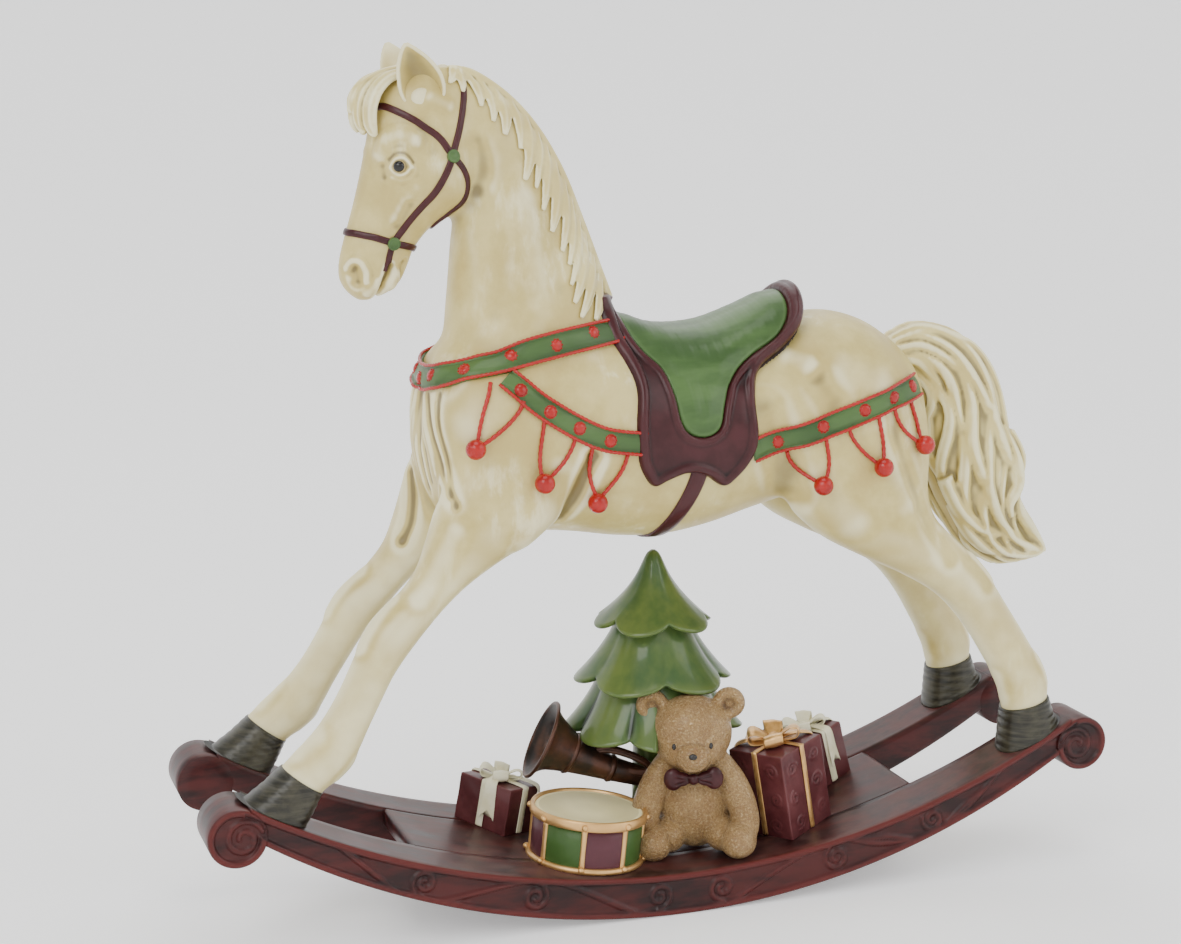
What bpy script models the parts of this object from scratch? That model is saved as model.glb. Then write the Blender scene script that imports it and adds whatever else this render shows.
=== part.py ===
"""Ornamental rocking horse: a harnessed horse whose hooves stand on two curved runners, with a deck
between the runners that carries a fir tree, a teddy bear, a drum, a bugle and three wrapped gifts.

Axes: the horse faces -X, its own left side is -Y, +Z is up. The origin is on the floor under the middle
of the base. Lengths are in metres, and the section tables are in millimetres.
"""
import math

import bmesh
import bpy
import numpy as np
from mathutils import Matrix, Vector
from mathutils.bvhtree import BVHTree

for old in list(bpy.data.objects):
    bpy.data.objects.remove(old, do_unlink=True)

mm = 0.001

# Driving sizes
overall_length = 0.500      # over the scrolls, along X
overall_height = 0.451      # floor to ear tips
base_width = 0.1217         # over the scrolls of both runners, along Y
runner_width = 0.031
runner_depth = 0.0224       # at mid-length
rocker_rise = 0.0728        # how far the underside has risen where it reaches the scrolls
top_rise = 0.0653           # the same for the top
scroll_radius = 0.0149
scroll_height = 0.069
scroll_proud = 0.0004       # the scrolls stand this far proud of the runner's faces
panel_border = 0.0034       # plain edge round the sunk panel
panel_depth = 0.0018
deck_front = -0.140
deck_rear = 0.146
deck_thickness = 0.009
front_hoof_x = -0.2115
rear_hoof_x = 0.2085
dowel_radius = 0.002
dowel_length = 0.014
dowel_clearance = 0.0003
joint_gap = 0.0003          # between pieces that touch
body_width = 0.100          # barrel of the horse across its widest point
strap_relief = 0.0024       # how far harness straps stand off the coat
girth_relief = 0.0018
skirt_relief = 0.0030
seat_relief = 0.0048
bridle_relief = 0.0012
stud_radius = 0.0036
stud_height = 0.0011        # above the strap
ball_radius = 0.0052
cord_radius = 0.0011
eye_radius = 0.0042
tree_height = 0.155
tree_radius = 0.047
bear_size = 1.13            # bear against its table
drum_radius = 0.0300
drum_height = 0.0280
hoop_height = 0.0042
hoop_thickness = 0.0014
bugle_bell_radius = 0.0210
ribbon_width = 0.0060
ribbon_thickness = 0.0010

# The section tables are written for these sizes, and are stretched from them.
table_length = 0.500
table_height = 0.451
table_body_width = 0.100
table_stance = 0.04535      # hoof centre from the middle plane
table_hoof_top = 0.0736     # runner top under the hooves

half_span = overall_length / 2 - scroll_radius
rocker_arc = (half_span**2 + rocker_rise**2) / (2 * rocker_rise)
top_arc = (half_span**2 + top_rise**2) / (2 * top_rise)
stance = (base_width - runner_width) / 2 - scroll_proud
stretch_x = overall_length / table_length
stretch_y = body_width / table_body_width


def arc_height(radius, x):
    return radius - math.sqrt(radius**2 - x**2)


def deck_top(x):
    return runner_depth + arc_height(top_arc, x)


def deck_slope(x):
    """Angle of the deck's surface at x, to lay things square on it."""
    return -math.asin(x / top_arc)


hoof_top = deck_top((rear_hoof_x - front_hoof_x) / 2 * stretch_x)
stretch_z = (overall_height - hoof_top) / (table_height - table_hoof_top)


def placed(x, y, z):
    """Table millimetres to a point in metres. Legs spread with the stance, the barrel with its width."""
    spread = min(max((abs(y) - 28) / (45.35 - 28), 0), 1)
    spreading = math.copysign(spread, y) * abs(y) * mm * stance / table_stance
    across = y * mm * stretch_y * (1 - spread) + spreading
    return Vector((x * mm * stretch_x, across, hoof_top + (z * mm - table_hoof_top) * stretch_z))


# ---------------------------------------------------------------- mesh helpers

def material(name, colour, roughness, metallic=0.0):
    found = bpy.data.materials.get(name)
    if found is None:
        found = bpy.data.materials.new(name)
        found.use_nodes = True
        shader = found.node_tree.nodes["Principled BSDF"]
        shader.inputs["Base Color"].default_value = (*colour, 1)
        shader.inputs["Roughness"].default_value = roughness
        shader.inputs["Metallic"].default_value = metallic
    return found


def make(name, mesh, finish):
    """Adds a node: one named object with its material."""
    piece = bpy.data.objects.new(name, mesh)
    mesh.name = name
    mesh.materials.clear()
    mesh.materials.append(finish)
    mesh.shade_smooth()
    mesh.set_sharp_from_angle(angle=math.radians(35))
    bpy.context.scene.collection.objects.link(piece)
    return piece


def mesh_from(points, faces):
    mesh = bpy.data.meshes.new("shape")
    mesh.from_pydata([tuple(p) for p in points], [], faces)
    form = bmesh.new()
    form.from_mesh(mesh)
    bmesh.ops.triangulate(form, faces=form.faces)
    bmesh.ops.recalc_face_normals(form, faces=form.faces)
    if form.calc_volume(signed=True) < 0:
        bmesh.ops.reverse_faces(form, faces=form.faces)
    form.to_mesh(mesh)
    form.free()
    return mesh


def combine(first, second, operation):
    """A Boolean of two meshes, as a new mesh."""
    a = bpy.data.objects.new("first", first)
    b = bpy.data.objects.new("second", second)
    bpy.context.scene.collection.objects.link(a)
    bpy.context.scene.collection.objects.link(b)
    step = a.modifiers.new("step", "BOOLEAN")
    step.operation = operation
    step.object = b
    step.solver = "EXACT"
    graph = bpy.context.evaluated_depsgraph_get()
    result = bpy.data.meshes.new_from_object(a.evaluated_get(graph))
    bpy.data.objects.remove(a, do_unlink=True)
    bpy.data.objects.remove(b, do_unlink=True)
    return result


def union(*meshes):
    result = meshes[0]
    for other in meshes[1:]:
        result = combine(result, other, "UNION")
    return result


def without(mesh, *others):
    for other in others:
        mesh = combine(mesh, other, "DIFFERENCE")
    return mesh


def within(mesh, other):
    return combine(mesh, other, "INTERSECT")


def grown(mesh, distance):
    """A copy with every point moved out along its normal."""
    result = mesh.copy()
    form = bmesh.new()
    form.from_mesh(result)
    form.normal_update()
    moved = [point.co + point.normal * distance for point in form.verts]
    for point, place in zip(form.verts, moved):
        point.co = place
    form.to_mesh(result)
    form.free()
    return result


def largest_body(mesh):
    """Drops the crumbs that a cut leaves beside the main body."""
    form = bmesh.new()
    form.from_mesh(mesh)
    left = set(form.faces)
    bodies = []
    while left:
        front = [left.pop()]
        body = list(front)
        while front:
            face = front.pop()
            for edge in face.edges:
                for other in edge.link_faces:
                    if other in left:
                        left.discard(other)
                        front.append(other)
                        body.append(other)
        area = sum(f.calc_area() for f in body)
        reach = max(f.calc_center_median().length for f in body)  # settles two bodies of equal area
        bodies.append((area, reach, body))
    bodies.sort(key=lambda entry: entry[:2], reverse=True)
    for _, _, body in bodies[1:]:
        bmesh.ops.delete(form, geom=body, context="FACES")
    loose = [v for v in form.verts if not v.link_faces]
    bmesh.ops.delete(form, geom=loose, context="VERTS")
    if form.calc_volume(signed=True) < 0:
        bmesh.ops.reverse_faces(form, faces=form.faces)
    form.to_mesh(mesh)
    form.free()
    return mesh


def moved(mesh, turn=None, to=(0, 0, 0)):
    result = mesh.copy()
    matrix = Matrix.Translation(to)
    if turn is not None:
        matrix = matrix @ turn
    result.transform(matrix)
    return result


def prism(outline, near, far, in_table=False):
    """An outline in X and Z, extruded along Y from near to far (metres)."""
    if in_table:
        flat = [placed(x, 0, z) for x, z in outline]
        outline = [(p.x, p.z) for p in flat]
    count = len(outline)
    points = [(x, near, z) for x, z in outline] + [(x, far, z) for x, z in outline]
    sides = [[i, (i + 1) % count, count + (i + 1) % count, count + i] for i in range(count)]
    return mesh_from(points, [list(range(count))[::-1], list(range(count, 2 * count))] + sides)


def offset_outline(outline, distance):
    """The outline moved outwards by a distance, corner by corner (negative moves it in)."""
    area = sum(a[0] * b[1] - b[0] * a[1] for a, b in zip(outline, outline[1:] + outline[:1]))
    sign = 1 if area > 0 else -1
    result = []
    for i, here in enumerate(outline):
        back = Vector(here) - Vector(outline[i - 1])
        ahead = Vector(outline[(i + 1) % len(outline)]) - Vector(here)
        first = Vector((back.y, -back.x)).normalized() * sign
        second = Vector((ahead.y, -ahead.x)).normalized() * sign
        middle = (first + second).normalized()
        result.append(tuple(Vector(here) + middle * distance / max(middle.dot(first), 0.5)))
    return result


def box(size, centre=(0, 0, 0)):
    corners = [(x, y, z) for x in (-0.5, 0.5) for y in (-0.5, 0.5) for z in (-0.5, 0.5)]
    points = [[c * s + m for c, s, m in zip(corner, size, centre)] for corner in corners]
    faces = [[0, 1, 3, 2], [4, 6, 7, 5], [0, 4, 5, 1], [2, 3, 7, 6], [0, 2, 6, 4], [1, 5, 7, 3]]
    return mesh_from(points, faces)


def turned(profile, sides):
    """A solid turned about Z from (radius, height) pairs; a zero radius closes to a point."""
    points = []
    rings = []
    for radius, height in profile:
        if radius == 0:
            rings.append([len(points)])
            points.append((0, 0, height))
            continue
        rings.append(list(range(len(points), len(points) + sides)))
        for k in range(sides):
            angle = 2 * math.pi * k / sides
            points.append((radius * math.cos(angle), radius * math.sin(angle), height))
    return mesh_from(points, skinned(rings))


def skinned(rings):
    """Faces between rings of point indices, with caps on open ends. A ring of one point is a tip."""
    faces = []
    for a, b in zip(rings, rings[1:]):
        count = max(len(a), len(b))
        for k in range(count):
            n = (k + 1) % count
            quad = [a[k % len(a)], a[n % len(a)], b[n % len(b)], b[k % len(b)]]
            face = list(dict.fromkeys(quad))
            if len(face) > 2:
                faces.append(face)
    for ring in (rings[0], rings[-1]):
        if len(ring) > 1:
            faces.append(list(ring))
    return faces


def cylinder(radius, length, sides):
    return turned([(radius, -length / 2), (radius, length / 2)], sides)


def ball(radius, sides=10, bands=6, scale=(1, 1, 1)):
    profile = [(0, -radius)]
    for k in range(1, bands):
        angle = math.pi * k / bands
        profile.append((radius * math.sin(angle), -radius * math.cos(angle)))
    profile.append((0, radius))
    mesh = turned(profile, sides)
    mesh.transform(Matrix.Diagonal((*scale, 1)))
    return mesh


def tube(path, radii, sides):
    """A round solid along a path, with a radius at each point."""
    path = [Vector(p) for p in path]
    points = []
    rings = []
    side = None
    for i, here in enumerate(path):
        along = (path[min(i + 1, len(path) - 1)] - path[max(i - 1, 0)]).normalized()
        if side is None:
            side = along.cross(Vector((0.31, 0.87, 0.38))).normalized()
        side = (side - along * side.dot(along)).normalized()
        other = along.cross(side)
        rings.append(list(range(len(points), len(points) + sides)))
        for k in range(sides):
            angle = 2 * math.pi * k / sides
            points.append(here + (side * math.cos(angle) + other * math.sin(angle)) * radii[i])
    return mesh_from(points, skinned(rings))


def section_loft(stations, sides=18, flip=1):
    """Skins elliptical sections. A station is its upper or front point, its lower or rear point (both X
    and Z), its half width, and how far its centre is from the middle plane, all in table millimetres."""
    points = []
    rings = []
    for (top_x, top_z), (low_x, low_z), half_width, aside in stations:
        rings.append(list(range(len(points), len(points) + sides)))
        for k in range(sides):
            angle = 2 * math.pi * k / sides
            blend = (1 + math.cos(angle)) / 2
            x = low_x + (top_x - low_x) * blend
            z = low_z + (top_z - low_z) * blend
            centre = placed(x, flip * aside if aside else 0, z)
            width = half_width * mm * math.sin(angle) * (stretch_y if half_width > 15 else 1)
            points.append(centre + Vector((0, width, 0)))
    return mesh_from(points, skinned(rings))


# ---------------------------------------------------------------- finishes

coat = material("coat", (0.62, 0.52, 0.36), 0.38)
hair = material("hair", (0.66, 0.57, 0.42), 0.40)
hoof_paint = material("hoof", (0.025, 0.024, 0.015), 0.30)
base_paint = material("base", (0.085, 0.016, 0.013), 0.38)
green_leather = material("green", (0.085, 0.165, 0.060), 0.42)
burgundy = material("burgundy", (0.075, 0.018, 0.022), 0.22)
red_gloss = material("red", (0.48, 0.010, 0.010), 0.18)
eye_black = material("eye", (0.010, 0.009, 0.008), 0.08)
steel = material("steel", (0.55, 0.55, 0.56), 0.35, 1.0)
fir = material("fir", (0.050, 0.120, 0.045), 0.40)
bear_fur = material("bear", (0.235, 0.135, 0.062), 0.48)
gold = material("gold", (0.52, 0.29, 0.10), 0.32, 0.8)
drum_paint = material("drum_panels", (0.055, 0.150, 0.045), 0.38)
skin = material("drum_skin", (0.70, 0.67, 0.47), 0.50)
bronze = material("bronze", (0.045, 0.030, 0.022), 0.38, 0.5)
wrapping = material("wrapping", (0.070, 0.016, 0.022), 0.36)
cream = material("cream_ribbon", (0.74, 0.70, 0.50), 0.48)


# ---------------------------------------------------------------- base

arc_steps = 27                                   # odd, so that one flat facet lies on the floor
arc_end = half_span - 0.48 * scroll_radius
facet_lift = arc_height(rocker_arc, arc_end / arc_steps)


def underside(x):
    return arc_height(rocker_arc, x) - facet_lift


def arc_points(height, start, end, steps):
    return [(x, height(x)) for x in np.linspace(start, end, steps + 1).tolist()]


def base_mesh():
    band = arc_points(deck_top, -arc_end, arc_end, arc_steps)
    band += [(half_span, scroll_height + scroll_radius), (half_span, scroll_height - 0.3 * scroll_radius)]
    band += arc_points(underside, arc_end, -arc_end, arc_steps)
    band += [(-half_span, scroll_height - 0.3 * scroll_radius), (-half_span, scroll_height + scroll_radius)]
    runner = prism(band, -runner_width / 2, runner_width / 2)
    for end in (-half_span, half_span):
        scroll = cylinder(scroll_radius, runner_width + 2 * scroll_proud, 24)
        scroll = moved(scroll, Matrix.Rotation(math.pi / 2, 4, "X"), (end, 0, scroll_height))
        runner = union(runner, scroll)
    return runner


def panel_cutter(side):
    """The sunk panel on a runner's outer face."""
    reach = arc_end - 1.6 * scroll_radius
    outline = arc_points(lambda x: deck_top(x) - panel_border, -reach, reach, 18)
    outline += arc_points(lambda x: underside(x) + panel_border, reach, -reach, 18)
    inner = side * (runner_width / 2 - panel_depth)
    outer = side * (runner_width / 2 + 0.002)
    return prism(outline, min(inner, outer), max(inner, outer))


hooves = {
    "front_left": (front_hoof_x, -1),
    "front_right": (front_hoof_x, 1),
    "rear_left": (rear_hoof_x, -1),
    "rear_right": (rear_hoof_x, 1),
}


def dowel_solid(hoof, clearance=0.0):
    x, side = hooves[hoof]
    x *= stretch_x
    pin = cylinder(dowel_radius + clearance, dowel_length + 2 * clearance, 12)
    return moved(pin, None, (x, side * stance, deck_top(x)))


for name, side in (("runner_left", -1), ("runner_right", 1)):
    runner = without(base_mesh(), panel_cutter(side))
    runner = moved(runner, None, (0, side * stance, 0))
    for hoof, (_, hoof_side) in hooves.items():
        if hoof_side == side:
            runner = without(runner, dowel_solid(hoof, dowel_clearance))
    make(name, runner, base_paint)

deck_half = stance - runner_width / 2 - joint_gap
deck_outline = arc_points(deck_top, deck_front * stretch_x, deck_rear * stretch_x, 22)
deck_outline += [(x, z - deck_thickness) for x, z in reversed(deck_outline)]
make("deck", prism(deck_outline, -deck_half, deck_half), base_paint)

# What stands on the base is cut to the curve of its top.
ground_outline = arc_points(lambda x: deck_top(x) + joint_gap, -half_span, half_span, 44)
ground_outline += [(half_span, -0.05), (-half_span, -0.05)]
ground = prism(ground_outline, -base_width, base_width)


# ---------------------------------------------------------------- horse

torso_sections = [
    ((-126, 264), (-126, 246), 10, 0), ((-122, 285), (-122, 228), 29, 0),
    ((-113, 300), (-114, 212), 42, 0),
    ((-97, 307), (-98, 205), 48, 0), ((-72, 309), (-72, 201), 50, 0), ((-45, 310), (-45, 198), 49, 0),
    ((-22, 306), (-20, 194), 48, 0), ((5, 298), (5, 193), 47, 0), ((30, 296), (30, 197), 46, 0),
    ((55, 300), (55, 204), 45.5, 0), ((80, 307), (80, 210), 46.5, 0), ((100, 309), (100, 212), 48, 0),
    ((120, 304), (120, 212), 47, 0), ((137, 293), (137, 214), 41, 0), ((149, 280), (148, 222), 30, 0),
    ((156, 262), (156, 240), 12, 0),
]
neck_sections = [
    ((-110, 412), (-98, 434), 13, 0), ((-106, 392), (-80, 423), 17, 0), ((-105, 370), (-65, 407), 20, 0),
    ((-107, 348), (-52, 385), 23, 0), ((-109, 325), (-42, 361), 26, 0), ((-111, 305), (-33, 338), 30, 0),
    ((-114, 285), (-24, 314), 35, 0), ((-112, 262), (-8, 300), 39, 0), ((-95, 245), (5, 282), 37, 0),
]
head_sections = [
    ((-128, 439), (-104, 440), 9, 0), ((-140, 430), (-93, 426), 17, 0), ((-147, 416), (-88, 406), 21, 0),
    ((-150, 402), (-87, 391), 22.5, 0), ((-153, 388), (-91, 377), 21.5, 0),
    ((-156.5, 374), (-102, 368), 18, 0),
    ((-160, 362), (-116, 361), 14.5, 0), ((-163, 352), (-126, 350), 12.5, 0),
    ((-165, 343), (-130, 341), 12.5, 0),
    ((-165, 335), (-134, 333), 12.5, 0), ((-161, 328), (-140, 328), 10.5, 0),
    ((-155, 323.5), (-147, 325), 5, 0),
]
front_leg_sections = [
    ((-108, 262), (-50, 238), 18, 28), ((-121, 241), (-56, 216), 20, 31),
    ((-126, 221), (-74, 203), 19, 33),
    ((-131, 204), (-92, 193), 17, 33.5), ((-137, 189), (-108, 183), 14.5, 34),
    ((-147, 177), (-121, 172), 13, 34.5),
    ((-161, 164), (-135, 157), 12.5, 35.5), ((-170, 148), (-148, 141), 10.5, 37),
    ((-177, 135), (-156, 128), 10, 39),
    ((-184, 124), (-163, 116), 10.5, 41), ((-194, 112), (-174, 97), 11.5, 43.5),
    ((-208.7, 98.9), (-189.2, 84.4), 12, 45.3),
]
front_hoof_sections = [
    ((-209, 98.5), (-189.5, 84), 12.5, 45.35), ((-219, 90.5), (-194, 75.5), 13.8, 45.35),
    ((-228.5, 83.5), (-198.5, 67.5), 14.5, 45.35), ((-231, 78), (-201, 62), 14.5, 45.35),
]
rear_leg_sections = [
    ((64, 264), (150, 262), 17, 26), ((60, 238), (151, 238), 20, 30), ((66, 213), (149, 215), 20, 32),
    ((84, 194), (152, 200), 19, 34), ((108, 180.5), (161, 189), 16.5, 36),
    ((132, 169), (173, 177), 13.5, 38),
    ((153, 156), (184, 164), 11.5, 40), ((168, 139.5), (195, 147), 10, 42),
    ((181, 119), (208, 126), 10, 44),
    ((190, 103), (217.5, 108), 11, 45), ((193.5, 89.5), (219.5, 96), 11.5, 45.3),
]
rear_hoof_sections = [
    ((193.5, 89), (219.5, 95.5), 12.3, 45.35), ((192.5, 77), (223, 86), 13.8, 45.35),
    ((192.5, 65.3), (226.5, 80.3), 14.5, 45.35), ((193, 59), (227, 74), 14.5, 45.35),
]
tail_sections = [
    ((138, 292), (146, 276), 8, 0), ((155, 299), (153, 271), 11, 0), ((172, 297), (160, 262), 14, 0),
    ((189, 287), (163, 252), 17, 0), ((202, 271), (164, 241), 19, 0), ((210, 250), (165, 226), 20, 0),
    ((216, 228), (168, 210), 20, 0), ((217, 206), (176, 194), 19, 0), ((219, 190), (188, 176), 16, 0),
    ((227, 178), (204, 164), 12, 0), ((236, 170), (222, 162), 7, 0), ((241, 167), (238, 163), 3, 0),
]
forelock_sections = [
    ((-120, 446), (-116, 434), 6, 0), ((-134, 443), (-126, 430), 8, 0),
    ((-147, 434), (-136, 424), 8.5, 0),
    ((-154, 420), (-143, 414), 7, 0), ((-156, 407), (-148, 403), 3.5, 0),
]
ear_sections = [
    ((-137, 427), (-117, 429), 5.5, 12), ((-138.5, 438), (-121, 440), 4.5, 14.5),
    ((-137, 446), (-127, 447), 2.6, 16.5), ((-134.5, 451), (-133, 451), 0.7, 18),
]

torso = section_loft(torso_sections, 20)
neck = section_loft(neck_sections, 16)
head = section_loft(head_sections, 16)
legs = {}
feet = {}
for hoof, (_, side) in hooves.items():
    front = hoof.startswith("front")
    legs[hoof] = section_loft(front_leg_sections if front else rear_leg_sections, 14, side)
    feet[hoof] = section_loft(front_hoof_sections if front else rear_hoof_sections, 16, side)


def body(distance):
    """The whole trunk, neck and upper legs, grown by a distance: what the harness lies on."""
    parts = [torso, neck] + list(legs.values())
    return union(*[grown(part, distance) for part in parts])


skin_gap = body(joint_gap)
eye_place = (-138, 19.0, 392)


def eye_ball(side, extra=0.0):
    place = placed(eye_place[0], 0, eye_place[2]) + Vector((0, side * eye_place[1] * mm, 0))
    return moved(ball(eye_radius + extra, 10, 6), None, place)


make("torso", torso, coat)
make("neck", largest_body(without(neck, grown(torso, joint_gap), grown(head, joint_gap))), coat)
make("head", without(head, eye_ball(-1, joint_gap), eye_ball(1, joint_gap)), coat)
ear_gaps = []
for side, word in ((-1, "left"), (1, "right")):
    make("eye_" + word, eye_ball(side), eye_black)
    ear = section_loft(ear_sections, 8, side)
    ear = largest_body(without(ear, grown(head, joint_gap), grown(neck, joint_gap)))
    make("ear_" + word, ear, coat)
    ear_gaps.append(grown(ear, joint_gap))

for hoof in hooves:
    leg = largest_body(without(legs[hoof], grown(torso, joint_gap)))
    make("leg_" + hoof, leg, coat)
    foot = largest_body(without(feet[hoof], ground, dowel_solid(hoof, dowel_clearance)))
    make("hoof_" + hoof, foot, hoof_paint)
    make("dowel_" + hoof, dowel_solid(hoof), steel)

mane_sections = []
for (front_x, front_z), (rear_x, rear_z), half_width, _ in neck_sections[:7]:
    out = Vector((rear_x - front_x, rear_z - front_z)).normalized()
    crest = Vector((rear_x, rear_z)) + out * 2.2
    root = Vector((rear_x, rear_z)) - out * 20
    mane_sections.append((tuple(crest), tuple(root), half_width * 0.8 + 2.6, 0))
tail = without(section_loft(tail_sections, 14), skin_gap)
make("tail", largest_body(tail), hair)
forelock = without(section_loft(forelock_sections, 10), grown(head, joint_gap), *ear_gaps)
make("forelock", largest_body(forelock), hair)


# ---------------------------------------------------------------- saddle and harness

collar_outline = [
    (-26, 313), (-60, 309), (-91, 302), (-118, 293), (-135, 290), (-135, 274), (-121, 279), (-93, 289),
    (-61, 296), (-31, 299.5),
]
shoulder_outline = [
    (-95, 292), (-86, 287), (-75, 278.5), (-60, 269.5), (-44, 261.5), (-19, 257), (-19, 243.5),
    (-36, 246),
    (-50, 252), (-71, 264), (-85.5, 276.5), (-99, 287.5),
]
rump_outline = [
    (40, 249), (67, 255.5), (89, 263), (112, 271.5), (160, 283), (160, 268), (137, 263.5), (112, 257),
    (89, 249), (67, 242), (40, 236.5),
]
skirt_outline = [
    (-15, 321), (-34, 321), (-33, 316), (-31, 303), (-25, 291), (-21, 278), (-24, 260), (-22, 243),
    (-13, 227), (-4, 231),
    (5, 233.5), (15, 232), (26, 225), (34, 231), (41, 239), (45, 250), (44.5, 270), (48, 284), (64, 292),
    (75, 302), (81, 313), (84, 335),
]
seat_outline = [
    (-14, 321), (-26, 321), (-23, 311), (-20, 302), (-13, 293), (-5, 285), (-1, 273), (1, 260),
    (6, 253.5), (15, 252),
    (23, 256), (27, 269), (34, 283), (45, 290), (61, 297), (70, 306), (73, 315), (75, 335),
]
girth_outline = [(3, 234), (14, 234), (9, 210), (4, 180), (-9, 180), (-3, 210)]
saddle_sections = [
    ((-36, 322), (-24, 262), 20, 0), ((-22, 312), (-14, 256), 28, 0), ((0, 303), (2, 250), 35, 0),
    ((28, 303), (28, 250), 37, 0), ((52, 310), (50, 254), 34, 0), ((72, 318), (66, 262), 30, 0),
    ((84, 318), (78, 268), 22, 0),
]
wide = 0.09

saddle_tree = section_loft(saddle_sections, 18)
skirt_shell = without(union(body(skirt_relief), saddle_tree), skin_gap)
skirt = within(skirt_shell, prism(skirt_outline, -wide, wide, True))
seat_hole = prism(offset_outline(seat_outline, joint_gap / mm), -wide, wide, True)
make("saddle_skirt", largest_body(without(skirt, seat_hole)), burgundy)
seat_shell = union(body(seat_relief), grown(saddle_tree, 0.0010))
seat = within(seat_shell, prism(seat_outline, -wide, wide, True))
make("saddle_seat", largest_body(without(seat, skin_gap)), green_leather)

skirt_hole = prism(offset_outline(skirt_outline, joint_gap / mm), -wide, wide, True)
mane = section_loft(mane_sections, 14)
mane = without(mane, skin_gap, grown(head, joint_gap), skirt_hole, body(strap_relief + joint_gap))
make("mane", largest_body(mane), hair)
girth = within(body(girth_relief), prism(girth_outline, -wide, wide, True))
make("girth", largest_body(without(girth, skin_gap, skirt_hole)), burgundy)

collar_studs = [(-41.4, 305.6), (-63, 301.2), (-85.7, 295.4), (-109.3, 289.0), (-122, 284)]
shoulder_studs = [(-84.5, 280.3), (-70.2, 269.1), (-55.3, 260.8), (-38.6, 253.6)]
rump_studs = [(56.3, 247.5), (80.2, 254.5), (103.3, 262.2), (120.6, 267.5), (134.8, 270.5)]

strap_body = body(strap_relief)
strap_shell = without(strap_body, skin_gap)
stud_body = body(strap_relief + stud_height)
stud_root = body(strap_relief / 2)


def strap(outline, studs, near, far):
    """A band that lies on the coat inside an outline, with low round studs."""
    band = within(strap_shell, prism(outline, near, far, True))
    for x, z in studs:
        centre = placed(x, 0, z)
        ring = [
            (centre.x + stud_radius * math.cos(a), centre.z + stud_radius * math.sin(a))
            for a in np.linspace(0, 2 * math.pi, 9)[:-1].tolist()
        ]
        core = within(stud_body, prism(ring, near, far))
        band = union(band, without(core, stud_root))
    return band


head_gap = grown(head, joint_gap)
rosette_root = union(grown(head, bridle_relief / 2), grown(neck, bridle_relief / 2))
collar = strap(collar_outline, collar_studs, -wide, wide)
collar = without(collar, skirt_hole)
make("breast_collar", largest_body(collar), green_leather)
collar_hole = prism(offset_outline(collar_outline, joint_gap / mm), -wide, wide, True)
for side, word in ((-1, "left"), (1, "right")):
    near = min(side * wide, side * 0.012)
    far = max(side * wide, side * 0.012)
    shoulder = without(strap(shoulder_outline, shoulder_studs, near, far), collar_hole, skirt_hole)
    make("shoulder_strap_" + word, largest_body(shoulder), green_leather)
    near = min(side * wide, side * 0.019)
    far = max(side * wide, side * 0.019)
    rump = without(strap(rump_outline, rump_studs, near, far), skirt_hole)
    make("rump_strap_" + word, largest_body(rump), green_leather)

# Each pendant: its ball, and the two feet of its cord on the strap above it.
pendants = {
    "shoulder_pendant_a": ((-107.4, 254), (-98.5, 283), (-83.5, 274)),
    "shoulder_pendant_b": ((-74.5, 234.3), (-73.5, 264.5), (-57.5, 254.5)),
    "shoulder_pendant_c": ((-43.4, 223.2), (-48, 250), (-29, 244)),
    "rump_pendant_a": ((80.2, 223.6), (62.2, 239.5), (82, 245.5)),
    "rump_pendant_b": ((112.1, 231.2), (95, 250), (111.5, 255.5)),
    "rump_pendant_c": ((138, 239.6), (122, 259), (133, 261.5)),
}


def on_coat(x, z, side, lift):
    """The point of the coat's side at x, z (table millimetres), lifted off it."""
    flat = placed(x, 0, z)
    start = Vector((flat.x, side * wide, flat.z))
    best = None
    for tree in coat_trees:
        hit, normal, _, _ = tree.ray_cast(start, Vector((0, -side, 0)))
        if hit is not None and (best is None or side * (hit.y - best[0].y) > 0):
            best = (hit, normal)
    if best is None:
        return Vector((flat.x, side * 0.02, flat.z))
    return best[0] + best[1] * lift


def tree_of(mesh):
    return BVHTree.FromPolygons([v.co[:] for v in mesh.vertices], [p.vertices[:] for p in mesh.polygons])


coat_trees = [tree_of(part) for part in [torso, neck] + list(legs.values())]
strap_holes = [
    prism(offset_outline(outline, joint_gap / mm), -wide, wide, True)
    for outline in (collar_outline, shoulder_outline, rump_outline)
]


def pendant(centre, first, last, side):
    """A V of cord with a bead at its point."""
    bead = on_coat(*centre, side, ball_radius + joint_gap)
    path = []
    for foot, steps in ((first, (0, 0.25, 0.5, 0.75)), (last, (1, 0.75, 0.5, 0.25, 0))):
        for step in steps:
            sag = 3.0 * math.sin(math.pi * step) * (1 if foot is first else -1) * 0.6
            x = foot[0] + (centre[0] - foot[0]) * step - sag
            z = foot[1] + (centre[1] - foot[1]) * step
            lift = cord_radius + joint_gap + (ball_radius - cord_radius) * step**3
            path.append(on_coat(x, z, side, lift))
    path[4] = bead
    cord = tube(path, [cord_radius] * len(path), 5)
    shape = union(moved(ball(ball_radius, 8, 5), None, bead), cord)
    return without(shape, skin_gap)


for name, (centre, first, last) in pendants.items():
    hole = strap_holes[2] if name.startswith("rump") else union(strap_holes[0], strap_holes[1])
    for side, word in ((-1, "left"), (1, "right")):
        shape = without(pendant(centre, first, last, side), hole)
        make(name + "_" + word, largest_body(shape), red_gloss)

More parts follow.
